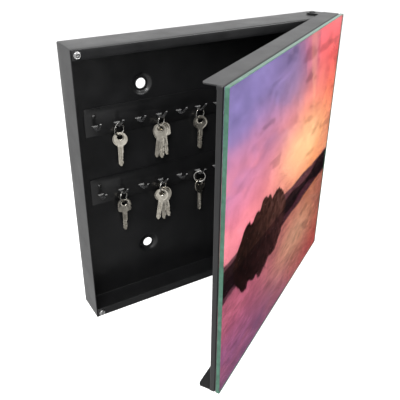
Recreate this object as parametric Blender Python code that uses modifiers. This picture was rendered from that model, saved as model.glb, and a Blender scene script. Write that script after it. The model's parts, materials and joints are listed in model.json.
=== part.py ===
"""Wall key cabinet: a folded steel box with two hook rails and six hung key
sets, closed by a swinging steel door tray that carries a printed glass panel.

Sizes are named in millimetres and scaled to metres where geometry is made.
+X is the hinge side, +Y runs into the wall, +Z is up, and the origin is the
middle of the four dimple pads, on the wall plane. The door is drawn shut, in
the frame of an empty on its hinge axis, and the empty stands part open.
"""
import math

import bmesh
import bpy
from mathutils import Matrix, Vector

MM = 0.001
MERGE = 0.00001

# ---------------------------------------------------------------- sizes ----
# Glass panel and the box behind it
GLASS_W = 300.0
GLASS_H = 300.0
GLASS_T = 4.0
GLASS_CORNER_R = 1.6
OVERHANG_X = 1.5          # glass past the box, each side
OVERHANG_Z = 1.8          # glass past the box, top and bottom
BOX_W = GLASS_W - 2 * OVERHANG_X
BOX_H = GLASS_H - 2 * OVERHANG_Z
BOX_D = 36.0
SHEET = 1.0               # steel thickness of box, rails and tray
STANDOFF = 2.5            # dimple pads press this far back, onto the wall
LIP_H = 10.3              # folded front lips, top and bottom
LIP_END_GAP = 1.4         # lip ends to the outer faces of the side walls
LIP_PLANE = -(STANDOFF + BOX_D)

# Dished mounting holes in the back panel
DISH_X = 65.5             # hole centres from the middle
DISH_Z = 96.0
DISH_RIM_R = 11.7
DISH_PAD_R = 8.0
MOUNT_HOLE_R = 5.4

# Clearances
FIT = 0.3                 # running gap round pins, shanks and rivets
SEAT = 0.15               # gap between a fixed piece and what it sits on
MAGNET_GAP = 0.3          # magnet face to the closed tray
LAYER_GAP = 0.1           # between the door's bonded layers

# Door tray
FILM_T = 0.2
FILM_MARGIN = 0.5
TAPE_T = 0.5
TAPE_W = 14.0
TAPE_MARGIN = 1.5
MAGNET_PROUD = 2.1
RETURN_PLANE = LIP_PLANE - MAGNET_PROUD - MAGNET_GAP      # rear face, side returns
RETURN_DEPTH = 5.3
TRAY_FRONT = RETURN_PLANE - RETURN_DEPTH
TAPE_BACK = TRAY_FRONT - LAYER_GAP
FILM_BACK = TAPE_BACK - TAPE_T - LAYER_GAP
GLASS_BACK = FILM_BACK - FILM_T - LAYER_GAP
TRAY_W = GLASS_W - 0.4
TRAY_H = GLASS_H          # flange outer faces are level with the glass edge
RETURN_LIP_W = 13.0
RETURN_LIP_END = 3.0      # lip ends short of the flanges
FLANGE_BEHIND = 10.5      # flange rear edge behind the lip plane
FLANGE_CORNER_R = 6.0

# Hinge: pins through the flange ears and the box top and bottom
PIVOT_X = BOX_W / 2 - 8.5
PIVOT_Y = LIP_PLANE + 20.0
EAR_R = 6.5
EAR_ROOT_R = 2.5
PIN_R = 2.0
PIN_HEAD_R = 3.6
PIN_HEAD_T = 1.0
WASHER_R = 4.6
WASHER_T = 0.4
RETAINER_R = 4.2
RETAINER_T = 0.8
PIN_TAIL = 0.8            # pin end past the retainer
DOOR_OPEN_DEG = 31.45     # the door stands part open

# Catch magnets on the lips, at the closing side
MAGNET_R = 3.3
MAGNET_SHANK_R = 1.5
MAGNET_IN_X = 5.8         # from the box side
MAGNET_IN_Z = 5.4         # from the box top or bottom

# Hook rails
RAIL_W = 260.0
RAIL_H = 30.0
RAIL_ABOVE = 18.0         # rail top above the hook roots
RAIL_CORNER_R = 1.5
HOOKS = 11
HOOK_PITCH = 24.0
UPPER_HOOK_Z = 61.8
LOWER_HOOK_Z = -15.5
RIVET_UP = 9.6            # rivet centre above the hook root
RIVET_R = 1.2
RIVET_HEAD_R = 1.75
RIVET_HEAD_T = 0.85
RIVET_TAIL_R = 2.2
RIVET_TAIL_T = 0.7

# Hook tongue, measured forward from the rail face and up from the root's top
ROOT_W = 7.0
ROOT_OUT = 2.4
SEAT_DROP = 1.6
SEAT_W = 4.6
SEAT_END = 8.6
SEAT_END_W = 4.0
RISE_DEG = 46.0
TIP_UP = 8.2
TIP_W = 2.0

# Split rings and keys
RING_R = 6.5              # wire centre line
WIRE_R = 0.6
RING_OUT = 5.8            # ring centre in front of the rail face
RING_LIFT = 0.2           # wire above the seat it hangs on
KEY_T = 1.8
KEY_HOLE_R = 3.0
KEY_HANG = 1.45           # hole centre below the wire it hangs on
HEAD_R = 7.8              # round bow
HEAD_DROP = 2.6           # bow centre below the hole

BACK_OUTER = -STANDOFF
BACK_INNER = BACK_OUTER - SHEET
RAIL_BACK = BACK_INNER - FIT
RAIL_FRONT = RAIL_BACK - SHEET
RIVET_X = HOOK_PITCH * (HOOKS - 1) / 2
MAGNET_X = -(BOX_W / 2 - MAGNET_IN_X)
MAGNET_Z = BOX_H / 2 - MAGNET_IN_Z

# Local Z of a flat outline, or of a turned piece, laid along a world axis
ALONG_Z = Matrix.Identity(4)
ALONG_Y = Matrix.Rotation(math.radians(90.0), 4, "X")     # (x, y, z) to (x, -z, y)

# ------------------------------------------------------------- scene kit ----
for stale in list(bpy.data.objects):
    bpy.data.objects.remove(stale, do_unlink=True)

CABINET = bpy.data.collections.new("key_cabinet")
CUTTERS = bpy.data.collections.new("cutters")
for group in (CABINET, CUTTERS):
    bpy.context.scene.collection.children.link(group)
CUTTERS.hide_render = True


def material(name, colour, metallic, roughness, transmission=0.0):
    """Make one Principled material and return it."""
    mat = bpy.data.materials.new(name)
    mat.use_nodes = True
    shader = mat.node_tree.nodes["Principled BSDF"]
    shader.inputs["Base Color"].default_value = (*colour, 1.0)
    shader.inputs["Metallic"].default_value = metallic
    shader.inputs["Roughness"].default_value = roughness
    shader.inputs["Transmission Weight"].default_value = transmission
    mat.diffuse_color = (*colour, 1.0)
    return mat


SHELL_MAT = material("black_powder_coat", (0.018, 0.018, 0.019), 0.0, 0.45)
RAIL_MAT = material("rail_powder_coat", (0.020, 0.020, 0.021), 0.0, 0.40)
TRAY_MAT = material("tray_powder_coat", (0.022, 0.022, 0.023), 0.0, 0.42)
GLASS_MAT = material("tempered_glass", (0.80, 0.93, 0.88), 0.0, 0.03, transmission=1.0)
FILM_MAT = material("printed_film", (0.55, 0.32, 0.52), 0.0, 0.55)
TAPE_MAT = material("foam_tape", (0.03, 0.03, 0.03), 0.0, 0.9)
MAGNET_MAT = material("nickel_magnet", (0.62, 0.62, 0.61), 1.0, 0.25)
PIN_MAT = material("black_zinc_pin", (0.05, 0.05, 0.05), 1.0, 0.4)
WASHER_MAT = material("nylon_washer", (0.30, 0.30, 0.29), 0.0, 0.6)
RETAINER_MAT = material("spring_steel", (0.35, 0.35, 0.36), 1.0, 0.35)
RIVET_MAT = material("dark_rivet", (0.09, 0.09, 0.09), 1.0, 0.4)
RING_MAT = material("nickel_wire", (0.72, 0.71, 0.68), 1.0, 0.2)
KEY_MAT = material("nickel_silver", (0.60, 0.57, 0.50), 1.0, 0.28)
CUT_MAT = material("cutter", (1.0, 0.2, 0.1), 0.0, 0.5)


def place(name, mesh, mat, location=(0.0, 0.0, 0.0), parent=None, smooth=False):
    """Put a mesh in the cabinet's collection, at a location in millimetres."""
    mesh.name = name
    mesh.materials.clear()
    mesh.materials.append(mat)
    if smooth:
        mesh.shade_smooth()
        mesh.set_sharp_from_angle(angle=math.radians(35.0))
    obj = bpy.data.objects.new(name, mesh)
    obj.location = Vector(location) * MM
    obj.parent = parent
    CABINET.objects.link(obj)
    return obj


def add_empty(name, location, turn_z):
    """Make an empty on a joint axis, at a place in millimetres."""
    obj = bpy.data.objects.new(name, None)
    obj.empty_display_size = 0.01
    obj.location = Vector(location) * MM
    obj.rotation_euler = (0.0, 0.0, turn_z)
    CABINET.objects.link(obj)
    return obj


def edit(mesh, work):
    """Run a function on a mesh's bmesh and write the result back."""
    bm = bmesh.new()
    bm.from_mesh(mesh)
    work(bm)
    bm.normal_update()
    bm.to_mesh(mesh)
    bm.free()
    return mesh


def bevel(obj, width, segments=1, angle=60.0):
    """Round the sharp edges of an object."""
    mod = obj.modifiers.new("edge", "BEVEL")
    mod.width = width * MM
    mod.segments = segments
    mod.limit_method = "ANGLE"
    mod.angle_limit = math.radians(angle)
    mod.use_clamp_overlap = True
    return mod


def arc(cx, cy, radius, start, end, steps):
    """Points on an arc, angles in degrees, both ends included."""
    return [(cx + radius * math.cos(math.radians(start + (end - start) * k / steps)),
             cy + radius * math.sin(math.radians(start + (end - start) * k / steps)))
            for k in range(steps + 1)]


def circle(cx, cy, radius, steps):
    """Points on a whole circle."""
    return arc(cx, cy, radius, 0.0, 360.0, steps)[:-1]


def rounded(width, height, radius, centre_z=0.0, steps=4):
    """Outline of a rectangle with round corners."""
    hw, hh = width / 2 - radius, height / 2 - radius
    points = []
    for sx, sz, start in ((1, -1, -90), (1, 1, 0), (-1, 1, 90), (-1, -1, 180)):
        points += arc(sx * hw, centre_z + sz * hh, radius, start, start + 90, steps)
    return points


def flat(loops, thickness=0.0, turn=ALONG_Z, shift=(0.0, 0.0, 0.0)):
    """Fill a flat outline with holes, as a 2D curve, and return its mesh.

    The outline lies in local XY and is thickened both ways along local Z;
    turn and shift then put it in place.
    """
    curve = bpy.data.curves.new("outline", "CURVE")
    curve.dimensions = "2D"
    curve.fill_mode = "BOTH"
    curve.extrude = thickness / 2 * MM
    for loop in loops:
        spline = curve.splines.new("POLY")
        spline.points.add(len(loop) - 1)
        for point, (u, v) in zip(spline.points, loop):
            point.co = (u * MM, v * MM, 0.0, 1.0)
        spline.use_cyclic_u = True
    guide = bpy.data.objects.new("outline", curve)
    bpy.context.scene.collection.objects.link(guide)
    bpy.context.view_layer.update()
    evaluated = guide.evaluated_get(bpy.context.evaluated_depsgraph_get())
    mesh = bpy.data.meshes.new_from_object(evaluated)
    bpy.data.objects.remove(guide, do_unlink=True)
    bpy.data.curves.remove(curve)

    def weld(bm):
        bmesh.ops.remove_doubles(bm, verts=bm.verts, dist=MERGE)
        bmesh.ops.recalc_face_normals(bm, faces=bm.faces)
        bm.transform(Matrix.Translation(Vector(shift) * MM) @ turn)

    return edit(mesh, weld)


def turned(name, profile, steps, mat, location, turn=ALONG_Z):
    """Turn a (radius, height) profile round local Z with a Screw modifier.

    The profile starts on top and runs down its outer side.
    """
    mesh = bpy.data.meshes.new(name)
    mesh.from_pydata([(r * MM, 0.0, h * MM) for r, h in profile],
                     [(i, i + 1) for i in range(len(profile) - 1)], [])
    obj = place(name, mesh, mat, location)
    obj.matrix_world = Matrix.Translation(Vector(location) * MM) @ turn
    mod = obj.modifiers.new("turn", "SCREW")
    mod.axis = "Z"
    mod.angle = math.tau
    mod.steps = steps
    mod.render_steps = steps
    mod.use_merge_vertices = True
    mod.merge_threshold = MERGE
    mod.use_smooth_shade = True
    return obj


def add_cutter(name, mesh):
    """Keep a cutting or joining solid as a wire guide and return it."""
    obj = place(name, mesh, CUT_MAT)
    CABINET.objects.unlink(obj)
    CUTTERS.objects.link(obj)
    obj.display_type = "WIRE"
    obj.hide_render = True
    return obj


def boolean(obj, tool, operation):
    """Cut or join with the exact solver."""
    mod = obj.modifiers.new(operation.lower(), "BOOLEAN")
    mod.operation = operation
    mod.solver = "EXACT"
    mod.object = tool
    return mod


def add_rod(bm, radius, length, centre, turn=ALONG_Z, steps=20):
    """Add a cylinder to a bmesh, its middle at centre."""
    bmesh.ops.create_cone(bm, cap_ends=True, segments=steps, radius1=radius * MM,
                          radius2=radius * MM, depth=length * MM,
                          matrix=Matrix.Translation(Vector(centre) * MM) @ turn)


def pull(bm, edges, move):
    """Extrude edges and move each new point by move(point), in millimetres."""
    grown = bmesh.ops.extrude_edge_only(bm, edges=edges)["geom"]
    for vert in (g for g in grown if isinstance(g, bmesh.types.BMVert)):
        vert.co = Vector(move(vert.co / MM)) * MM
    return [g for g in grown if isinstance(g, bmesh.types.BMEdge)]


def edges_where(bm, test):
    """Edges of a bmesh whose two ends both pass the test, in millimetres."""
    return [e for e in bm.edges if all(test(v.co / MM) for v in e.verts)]


def near(a, b, tolerance=0.01):
    """Whether two lengths are the same for picking points."""
    return abs(a - b) < tolerance


def face_out(bm, inside):
    """Turn an open folded surface so that its largest face looks away from inside."""
    bmesh.ops.recalc_face_normals(bm, faces=bm.faces)
    bm.faces.ensure_lookup_table()
    widest = max(bm.faces, key=lambda f: (round(f.calc_area(), 9), -f.index))
    away = widest.calc_center_median() - Vector(inside) * MM
    if widest.normal.dot(away) < 0:
        bmesh.ops.reverse_faces(bm, faces=bm.faces)


def thicken(obj):
    """Give a folded surface its sheet thickness, inwards."""
    mod = obj.modifiers.new("sheet", "SOLIDIFY")
    mod.thickness = SHEET * MM
    mod.offset = -1.0
    mod.use_even_offset = True
    mod.use_quality_normals = True
    return mod


# ------------------------------------------------------- cabinet shell ----
def fold_shell(bm):
    """Fold the flat back panel into the box: dishes, walls and lips."""
    hx, hz = BOX_W / 2, BOX_H / 2
    for sx in (-1, 1):
        for sz in (-1, 1):
            centre = Vector((sx * DISH_X, BACK_OUTER, sz * DISH_Z))

            def ring(radius, depth, c=centre):
                """Move a point to a circle round the dish."""
                def move(p):
                    spoke = Vector((p.x - c.x, 0.0, p.z - c.z)).normalized()
                    return c + spoke * radius + Vector((0.0, depth, 0.0))
                return move

            rim = edges_where(bm, lambda p, c=centre: near((p - c).length, DISH_RIM_R))
            pad = pull(bm, rim, ring(DISH_PAD_R, STANDOFF))
            pull(bm, pad, ring(MOUNT_HOLE_R, STANDOFF))
    walls = edges_where(bm, lambda p: near(abs(p.x), hx) or near(abs(p.z), hz))
    pull(bm, walls, lambda p: (p.x, LIP_PLANE, p.z))
    lip_x = hx - LIP_END_GAP
    for sz in (-1, 1):
        edge, = edges_where(bm, lambda p, s=sz: near(p.y, LIP_PLANE) and near(p.z, s * hz))
        ends = sorted(edge.verts, key=lambda v: v.co.x)
        _, first = bmesh.utils.edge_split(edge, ends[0], LIP_END_GAP / BOX_W)
        rest, = [e for e in first.link_edges if ends[1] in e.verts]
        bmesh.utils.edge_split(rest, ends[1], LIP_END_GAP / (BOX_W - LIP_END_GAP))
    front = edges_where(bm, lambda p: near(p.y, LIP_PLANE) and near(abs(p.z), hz)
                        and abs(p.x) < lip_x + 0.01)
    pull(bm, front, lambda p: (p.x, p.y, math.copysign(hz - LIP_H, p.z)))
    face_out(bm, (0.0, LIP_PLANE / 2, 0.0))


panel = [[(-BOX_W / 2, -BOX_H / 2), (BOX_W / 2, -BOX_H / 2), (BOX_W / 2, BOX_H / 2),
          (-BOX_W / 2, BOX_H / 2)]]
panel += [circle(sx * DISH_X, sz * DISH_Z, DISH_RIM_R, 24) for sx in (-1, 1) for sz in (-1, 1)]
back = edit(flat(panel, 0.0, ALONG_Y, (0.0, BACK_OUTER, 0.0)), fold_shell)
shell = place("cabinet_shell", back, SHELL_MAT)
thicken(shell)
bevel(shell, 0.3)


def shell_holes(bm):
    """Cylinders for the pin, magnet and rivet holes."""
    for s in (-1, 1):
        add_rod(bm, PIN_R + FIT, 8.0, (PIVOT_X, PIVOT_Y, s * BOX_H / 2), steps=20)
        add_rod(bm, MAGNET_SHANK_R + FIT, 8.0, (MAGNET_X, LIP_PLANE, s * MAGNET_Z), ALONG_Y, 16)
        for root in (UPPER_HOOK_Z, LOWER_HOOK_Z):
            add_rod(bm, RIVET_R + FIT, 6.0, (s * RIVET_X, BACK_OUTER, root + RIVET_UP), ALONG_Y, 16)


drills = edit(bpy.data.meshes.new("shell_holes"), shell_holes)
boolean(shell, add_cutter("shell_holes", drills), "DIFFERENCE")


# ----------------------------------------------------------- hook rails ----
def hook_sections():
    """Cross-sections of a hook from root to tip: corner points and width.

    Each is (top out, top up, bottom out, bottom up, width).
    """
    rise = math.radians(RISE_DEG)
    tip_out = SEAT_END + (TIP_UP + SEAT_DROP) / math.tan(rise)
    return [
        (-0.6 * SHEET, 0.0, -0.6 * SHEET, -SHEET, ROOT_W),
        (ROOT_OUT, 0.0, ROOT_OUT - SHEET, -SHEET, ROOT_W),
        (ROOT_OUT, -SEAT_DROP, ROOT_OUT - SHEET, -SEAT_DROP - SHEET, SEAT_W),
        (SEAT_END, -SEAT_DROP, SEAT_END + SHEET * math.tan(rise / 2), -SEAT_DROP - SHEET,
         SEAT_END_W),
        (tip_out, TIP_UP, tip_out + SHEET * math.sin(rise), TIP_UP - SHEET * math.cos(rise),
         TIP_W),
    ]


def loft_hook(bm, x, root):
    """Loft one bent hook: wide root, seat, and a tapering rise to the tip."""
    rows = []
    for out_t, up_t, out_b, up_b, width in hook_sections():
        corners = ((out_t, up_t, -1), (out_t, up_t, 1), (out_b, up_b, 1), (out_b, up_b, -1))
        rows.append([bm.verts.new(Vector((x + side * width / 2, RAIL_FRONT - out, root + up)) * MM)
                     for out, up, side in corners])
    for low, high in zip(rows, rows[1:]):
        for i in range(4):
            bm.faces.new((low[i], high[i], high[i - 3], low[i - 3]))
    bm.faces.new(rows[0])
    bm.faces.new(reversed(rows[-1]))


def make_rail(name, root):
    """A flat rail with its row of hooks and two rivet holes."""
    outline = rounded(RAIL_W, RAIL_H, RAIL_CORNER_R, root + RAIL_ABOVE - RAIL_H / 2, 3)
    rivets = [circle(s * RIVET_X, root + RIVET_UP, RIVET_R + FIT, 16) for s in (-1, 1)]
    strip = flat([outline] + rivets, SHEET, ALONG_Y, (0.0, (RAIL_FRONT + RAIL_BACK) / 2, 0.0))
    rail = place(name, strip, RAIL_MAT)

    def row(bm):
        for i in range(HOOKS):
            loft_hook(bm, HOOK_PITCH * i - RIVET_X, root)
        bmesh.ops.recalc_face_normals(bm, faces=bm.faces)

    hooks = edit(bpy.data.meshes.new(name + "_hooks"), row)
    boolean(rail, add_cutter(name + "_hooks", hooks), "UNION")
    bevel(rail, 0.12)


make_rail("hook_rail_upper", UPPER_HOOK_Z)
make_rail("hook_rail_lower", LOWER_HOOK_Z)


def make_rivet(name, x, z):
    """A domed rivet through a rail and the back panel, head to the front."""
    shank = RAIL_FRONT - BACK_OUTER
    head, tail = SEAT, shank - SEAT
    profile = [(0.0, head + RIVET_HEAD_T), (0.5 * RIVET_HEAD_R, head + 0.85 * RIVET_HEAD_T),
               (0.83 * RIVET_HEAD_R, head + 0.47 * RIVET_HEAD_T), (RIVET_HEAD_R, head),
               (RIVET_R, head), (RIVET_R, tail), (RIVET_TAIL_R, tail),
               (RIVET_TAIL_R, tail - RIVET_TAIL_T), (0.0, tail - RIVET_TAIL_T)]
    turned(name, profile, 16, RIVET_MAT, (x, RAIL_FRONT, z), ALONG_Y)


for side, sx in (("left", -1), ("right", 1)):
    make_rivet(f"rail_rivet_upper_{side}", sx * RIVET_X, UPPER_HOOK_Z + RIVET_UP)
    make_rivet(f"rail_rivet_lower_{side}", sx * RIVET_X, LOWER_HOOK_Z + RIVET_UP)


# -------------------------------------------------------------- magnets ----
for level, sz in (("upper", 1), ("lower", -1)):
    disc = [(0.0, MAGNET_PROUD), (MAGNET_R - 0.35, MAGNET_PROUD),
            (MAGNET_R, MAGNET_PROUD - 0.35), (MAGNET_R, SEAT), (MAGNET_SHANK_R, SEAT),
            (MAGNET_SHANK_R, -SHEET - 0.6), (0.0, -SHEET - 0.6)]
    turned(f"catch_magnet_{level}", disc, 28, MAGNET_MAT,
           (MAGNET_X, LIP_PLANE, sz * MAGNET_Z), ALONG_Y)


# ---------------------------------------------------------------- hinge ----
for level, turn in (("upper", ALONG_Z), ("lower", Matrix.Rotation(math.pi, 4, "X"))):
    at = (PIVOT_X, PIVOT_Y, 0.0)
    bore = PIN_R + FIT
    head = TRAY_H / 2 + SEAT
    seat = BOX_H / 2 - SHEET - SEAT
    end = seat - RETAINER_T - PIN_TAIL
    middle = (BOX_H / 2 + TRAY_H / 2 - SHEET) / 2
    pin = [(0.0, head + PIN_HEAD_T), (PIN_HEAD_R - 0.6, head + PIN_HEAD_T),
           (PIN_HEAD_R, head + 0.45 * PIN_HEAD_T), (PIN_HEAD_R, head), (PIN_R, head),
           (PIN_R, end + 0.3), (PIN_R - 0.3, end), (0.0, end)]
    turned(f"hinge_pin_{level}", pin, 24, PIN_MAT, at, turn)
    washer = [(bore, middle + WASHER_T / 2), (WASHER_R, middle + WASHER_T / 2),
              (WASHER_R, middle - WASHER_T / 2), (bore, middle - WASHER_T / 2),
              (bore, middle + WASHER_T / 2)]
    turned(f"hinge_washer_{level}", washer, 28, WASHER_MAT, at, turn)
    retainer = [(bore, seat), (RETAINER_R - 0.4, seat), (RETAINER_R, seat - 0.25),
                (RETAINER_R, seat - RETAINER_T), (bore, seat - RETAINER_T), (bore, seat)]
    turned(f"pin_retainer_{level}", retainer, 24, RETAINER_MAT, at, turn)


# ----------------------------------------------------------------- door ----
door_axis = add_empty("door_axis", (PIVOT_X, PIVOT_Y, 0.0), math.radians(DOOR_OPEN_DEG))
DOOR_SHIFT = Vector((-PIVOT_X, -PIVOT_Y, 0.0))    # shut door's place in the empty's frame


def flange_outline():
    """Flange seen from above: round free corner, hinge ear, short step."""
    hw = TRAY_W / 2
    rear = LIP_PLANE + FLANGE_BEHIND
    relief = RETURN_PLANE + 0.4
    step = 1.6
    ear_left = PIVOT_X - EAR_R
    left = [(-hw, TRAY_FRONT), (-hw, RETURN_PLANE), (-hw, relief)]
    corner = arc(-hw + FLANGE_CORNER_R, rear - FLANGE_CORNER_R, FLANGE_CORNER_R, 180, 90, 5)
    ear = (arc(ear_left - EAR_ROOT_R, rear + EAR_ROOT_R, EAR_ROOT_R, -90, 0, 3)
           + arc(PIVOT_X, PIVOT_Y, EAR_R, 180, 0, 12))
    shoulder = [(PIVOT_X + EAR_R, rear)] + arc(hw - step, rear - step, step, 75, 0, 3)
    right = [(hw, relief), (hw, RETURN_PLANE), (hw, TRAY_FRONT)]
    return left + corner + ear + shoulder + right


def fold_tray(bm):
    """Join the two flanges with the front plate and fold the side returns."""
    hw, hz = TRAY_W / 2, TRAY_H / 2
    ends = edges_where(bm, lambda p: near(p.y, TRAY_FRONT))
    bmesh.ops.bridge_loops(bm, edges=ends)
    for side in (-1, 1):
        post = edges_where(bm, lambda p, s=side: near(p.x, s * hw) and near(p.y, TRAY_FRONT))
        pull(bm, post, lambda p: (p.x, RETURN_PLANE, p.z))
    bmesh.ops.remove_doubles(bm, verts=bm.verts, dist=MERGE)
    lip_z = hz - RETURN_LIP_END
    for level in (-1, 1):
        sides = [f for f in bm.faces if all(near(abs(v.co.x / MM), hw) for v in f.verts)]
        geom = sides + list({e for f in sides for e in f.edges})
        geom += list({v for f in sides for v in f.verts})
        bmesh.ops.bisect_plane(bm, geom=geom, plane_co=(0.0, 0.0, level * lip_z * MM),
                               plane_no=(0.0, 0.0, 1.0), dist=1e-7)
    fold = edges_where(bm, lambda p: near(abs(p.x), hw) and near(p.y, RETURN_PLANE)
                       and abs(p.z) < lip_z + 0.01)
    pull(bm, fold, lambda p: (math.copysign(hw - RETURN_LIP_W, p.x), p.y,
                              math.copysign(lip_z - 4.0, p.z)))
    face_out(bm, (0.0, (TRAY_FRONT + RETURN_PLANE) / 2, 0.0))
    bm.transform(Matrix.Translation(DOOR_SHIFT * MM))


flanges = bpy.data.meshes.new("door_tray")
bore_loop = circle(PIVOT_X, PIVOT_Y, PIN_R + FIT, 20)
both = bmesh.new()
for sz in (-1, 1):
    flange = flat([flange_outline(), bore_loop], 0.0, ALONG_Z, (0.0, 0.0, sz * TRAY_H / 2))
    both.from_mesh(flange)
    bpy.data.meshes.remove(flange)
both.to_mesh(flanges)
both.free()
tray = place("door_tray", edit(flanges, fold_tray), TRAY_MAT, parent=door_axis)
thicken(tray)
bevel(tray, 0.25)


def layer(name, loops, thickness, back_y, mat):
    """A flat layer of the door."""
    shift = DOOR_SHIFT + Vector((0.0, back_y - thickness / 2, 0.0))
    return place(name, flat(loops, thickness, ALONG_Y, shift), mat, parent=door_axis)


glass = layer("glass_panel", [rounded(GLASS_W, GLASS_H, GLASS_CORNER_R)], GLASS_T,
              GLASS_BACK, GLASS_MAT)
bevel(glass, 0.35)
film_w, film_h = GLASS_W - 2 * FILM_MARGIN, GLASS_H - 2 * FILM_MARGIN
layer("printed_film", [rounded(film_w, film_h, 1.2)], FILM_T, FILM_BACK, FILM_MAT)
tape_w, tape_h = TRAY_W - 2 * TAPE_MARGIN, TRAY_H - 2 * TAPE_MARGIN
window = rounded(tape_w - 2 * TAPE_W, tape_h - 2 * TAPE_W, 0.5, steps=1)
layer("glass_tape", [rounded(tape_w, tape_h, 1.0), window], TAPE_T, TAPE_BACK, TAPE_MAT)


# ------------------------------------------------------- rings and keys ----
SQUARE_BOW = [(2.9, -10.9), (6.3, -9.9), (7.3, -8.8), (7.5, -1.0), (6.9, 1.5), (5.1, 3.6),
              (2.7, 4.3)]
SHIELD_BOW = [(2.9, -11.6), (4.8, -10.0), (6.7, -6.4), (7.4, -3.0), (7.1, 0.2), (5.8, 2.8),
              (3.8, 4.3), (1.3, 4.9)]


def mirrored(half):
    """Right half of a bow, then its mirror image back down the left."""
    return half + [(-x, z) for x, z in reversed(half)]


BOWS = {
    "round": (arc(0.0, -HEAD_DROP, HEAD_R, -66, 246, 18), -9.8, 2.9),
    "square": (mirrored(SQUARE_BOW), -10.9, 2.7),
    "shield": (mirrored(SHIELD_BOW), -11.6, 2.7),
}


def key_outline(bow, cuts, tip):
    """Key seen from the front, hole centre at the origin, blade downwards."""
    head, neck, half = BOWS[bow]
    left = [(-half, neck - 1.2), (-half, tip + 2.6), (-1.2, tip)]
    teeth, z = [(1.0, tip), (half - 1.4, tip + 2.2)], tip + 3.2
    for depth in cuts:
        teeth += [(half - depth, z), (half - depth, z + 1.1), (half - 0.5, z + 2.0)]
        z += 3.1
    teeth += [(half, z + 0.6), (half, neck - 1.2)]
    return head + left + teeth


class KeySet:
    """One split ring and its keys, hung on one hook."""

    def __init__(self, tag, hook, root, ring_yaw):
        self.tag = tag
        self.yaw = math.radians(ring_yaw)
        x = HOOK_PITCH * (hook - 1) - RIVET_X
        share = (RING_OUT - ROOT_OUT) / (SEAT_END - ROOT_OUT)
        reach = (SEAT_W + (SEAT_END_W - SEAT_W) * share) / 2 / math.cos(self.yaw)
        sag = math.sqrt((RING_R - WIRE_R) ** 2 - reach ** 2)
        z = root - SEAT_DROP + RING_LIFT - sag
        self.axis = add_empty(f"{tag}_axis", (x, RAIL_FRONT - RING_OUT, z), self.yaw)
        self.add_ring()

    def add_ring(self):
        """Round wire ring that stands in the empty's XZ plane."""
        name = f"{self.tag}_ring"
        bpy.ops.mesh.primitive_torus_add(major_segments=28, minor_segments=6,
                                         major_radius=RING_R * MM, minor_radius=WIRE_R * MM)
        torus = bpy.context.object
        mesh = torus.data
        bpy.data.objects.remove(torus, do_unlink=True)
        mesh.transform(ALONG_Y)
        place(name, mesh, RING_MAT, parent=self.axis, smooth=True)

    def add_key(self, tag, bow, cuts, tip, yaw, at=0.0, fan=0.0):
        """A key at an angle round the ring, turned by yaw, leaning by fan."""
        outline = [key_outline(bow, cuts, tip), circle(0.0, 0.0, KEY_HOLE_R, 14)]
        blank = flat(outline, KEY_T, ALONG_Y)
        key = place(f"{self.tag}_key_{tag}", blank, KEY_MAT, parent=self.axis)
        angle = math.radians(at)
        wire = Vector((RING_R * math.sin(angle), 0.0, -RING_R * math.cos(angle)))
        key.matrix_local = (Matrix.Translation(wire * MM)
                            @ Matrix.Rotation(math.radians(yaw) - self.yaw, 4, "Z")
                            @ Matrix.Rotation(math.radians(fan), 4, "Y")
                            @ Matrix.Translation((0.0, 0.0, -KEY_HANG * MM)))


set_a = KeySet("set_a", 2, UPPER_HOOK_Z, 22.0)
set_a.add_key("1", "round", (0.7, 1.3, 1.0, 0.6), -32.8, -20.0)

set_b = KeySet("set_b", 4, UPPER_HOOK_Z, 34.0)
set_b.add_key("1", "shield", (1.1, 0.6, 1.3), -33.4, -24.0, -27.0, 7.0)
set_b.add_key("2", "round", (0.6, 1.2, 0.8, 1.3), -34.4, -24.0)
set_b.add_key("3", "square", (1.3, 0.7, 1.0), -33.0, -24.0, 27.0, -7.0)

set_c = KeySet("set_c", 6, UPPER_HOOK_Z, 20.0)
set_c.add_key("1", "round", (1.2, 0.7, 1.1, 0.8), -33.6, -22.0)

set_d = KeySet("set_d", 2, LOWER_HOOK_Z, 34.0)
set_d.add_key("1", "square", (1.0, 0.6, 1.3), -34.0, -8.0)

set_e = KeySet("set_e", 4, LOWER_HOOK_Z, 34.0)
set_e.add_key("1", "round", (0.7, 1.2, 0.9, 0.6), -34.2, -24.0, -27.0, 8.0)
set_e.add_key("2", "square", (1.3, 0.6, 1.2), -34.6, -24.0, 0.0, -1.0)
set_e.add_key("3", "shield", (0.8, 1.3, 0.6), -33.6, -24.0, 27.0, -8.0)

set_f = KeySet("set_f", 6, LOWER_HOOK_Z, -31.0)
set_f.add_key("1", "shield", (1.2, 0.8, 1.3), -35.6, 10.0)
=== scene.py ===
"""Looks of a wall key cabinet: powder-coated box, hook rails, hung keys, and
a swinging tray faced with a printed glass panel.

Each sub-assembly is a class that builds its surfaces as grids of points in
millimetres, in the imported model's frame, and dresses them with the finishes
at the top of the file. +X is the hinge side, +Y the wall, +Z up.
"""

import json
import logging
import math
from dataclasses import dataclass, field
from enum import Enum
from typing import Optional, Sequence

import bmesh
import bpy
import numpy as np
from mathutils import Matrix, Vector


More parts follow.
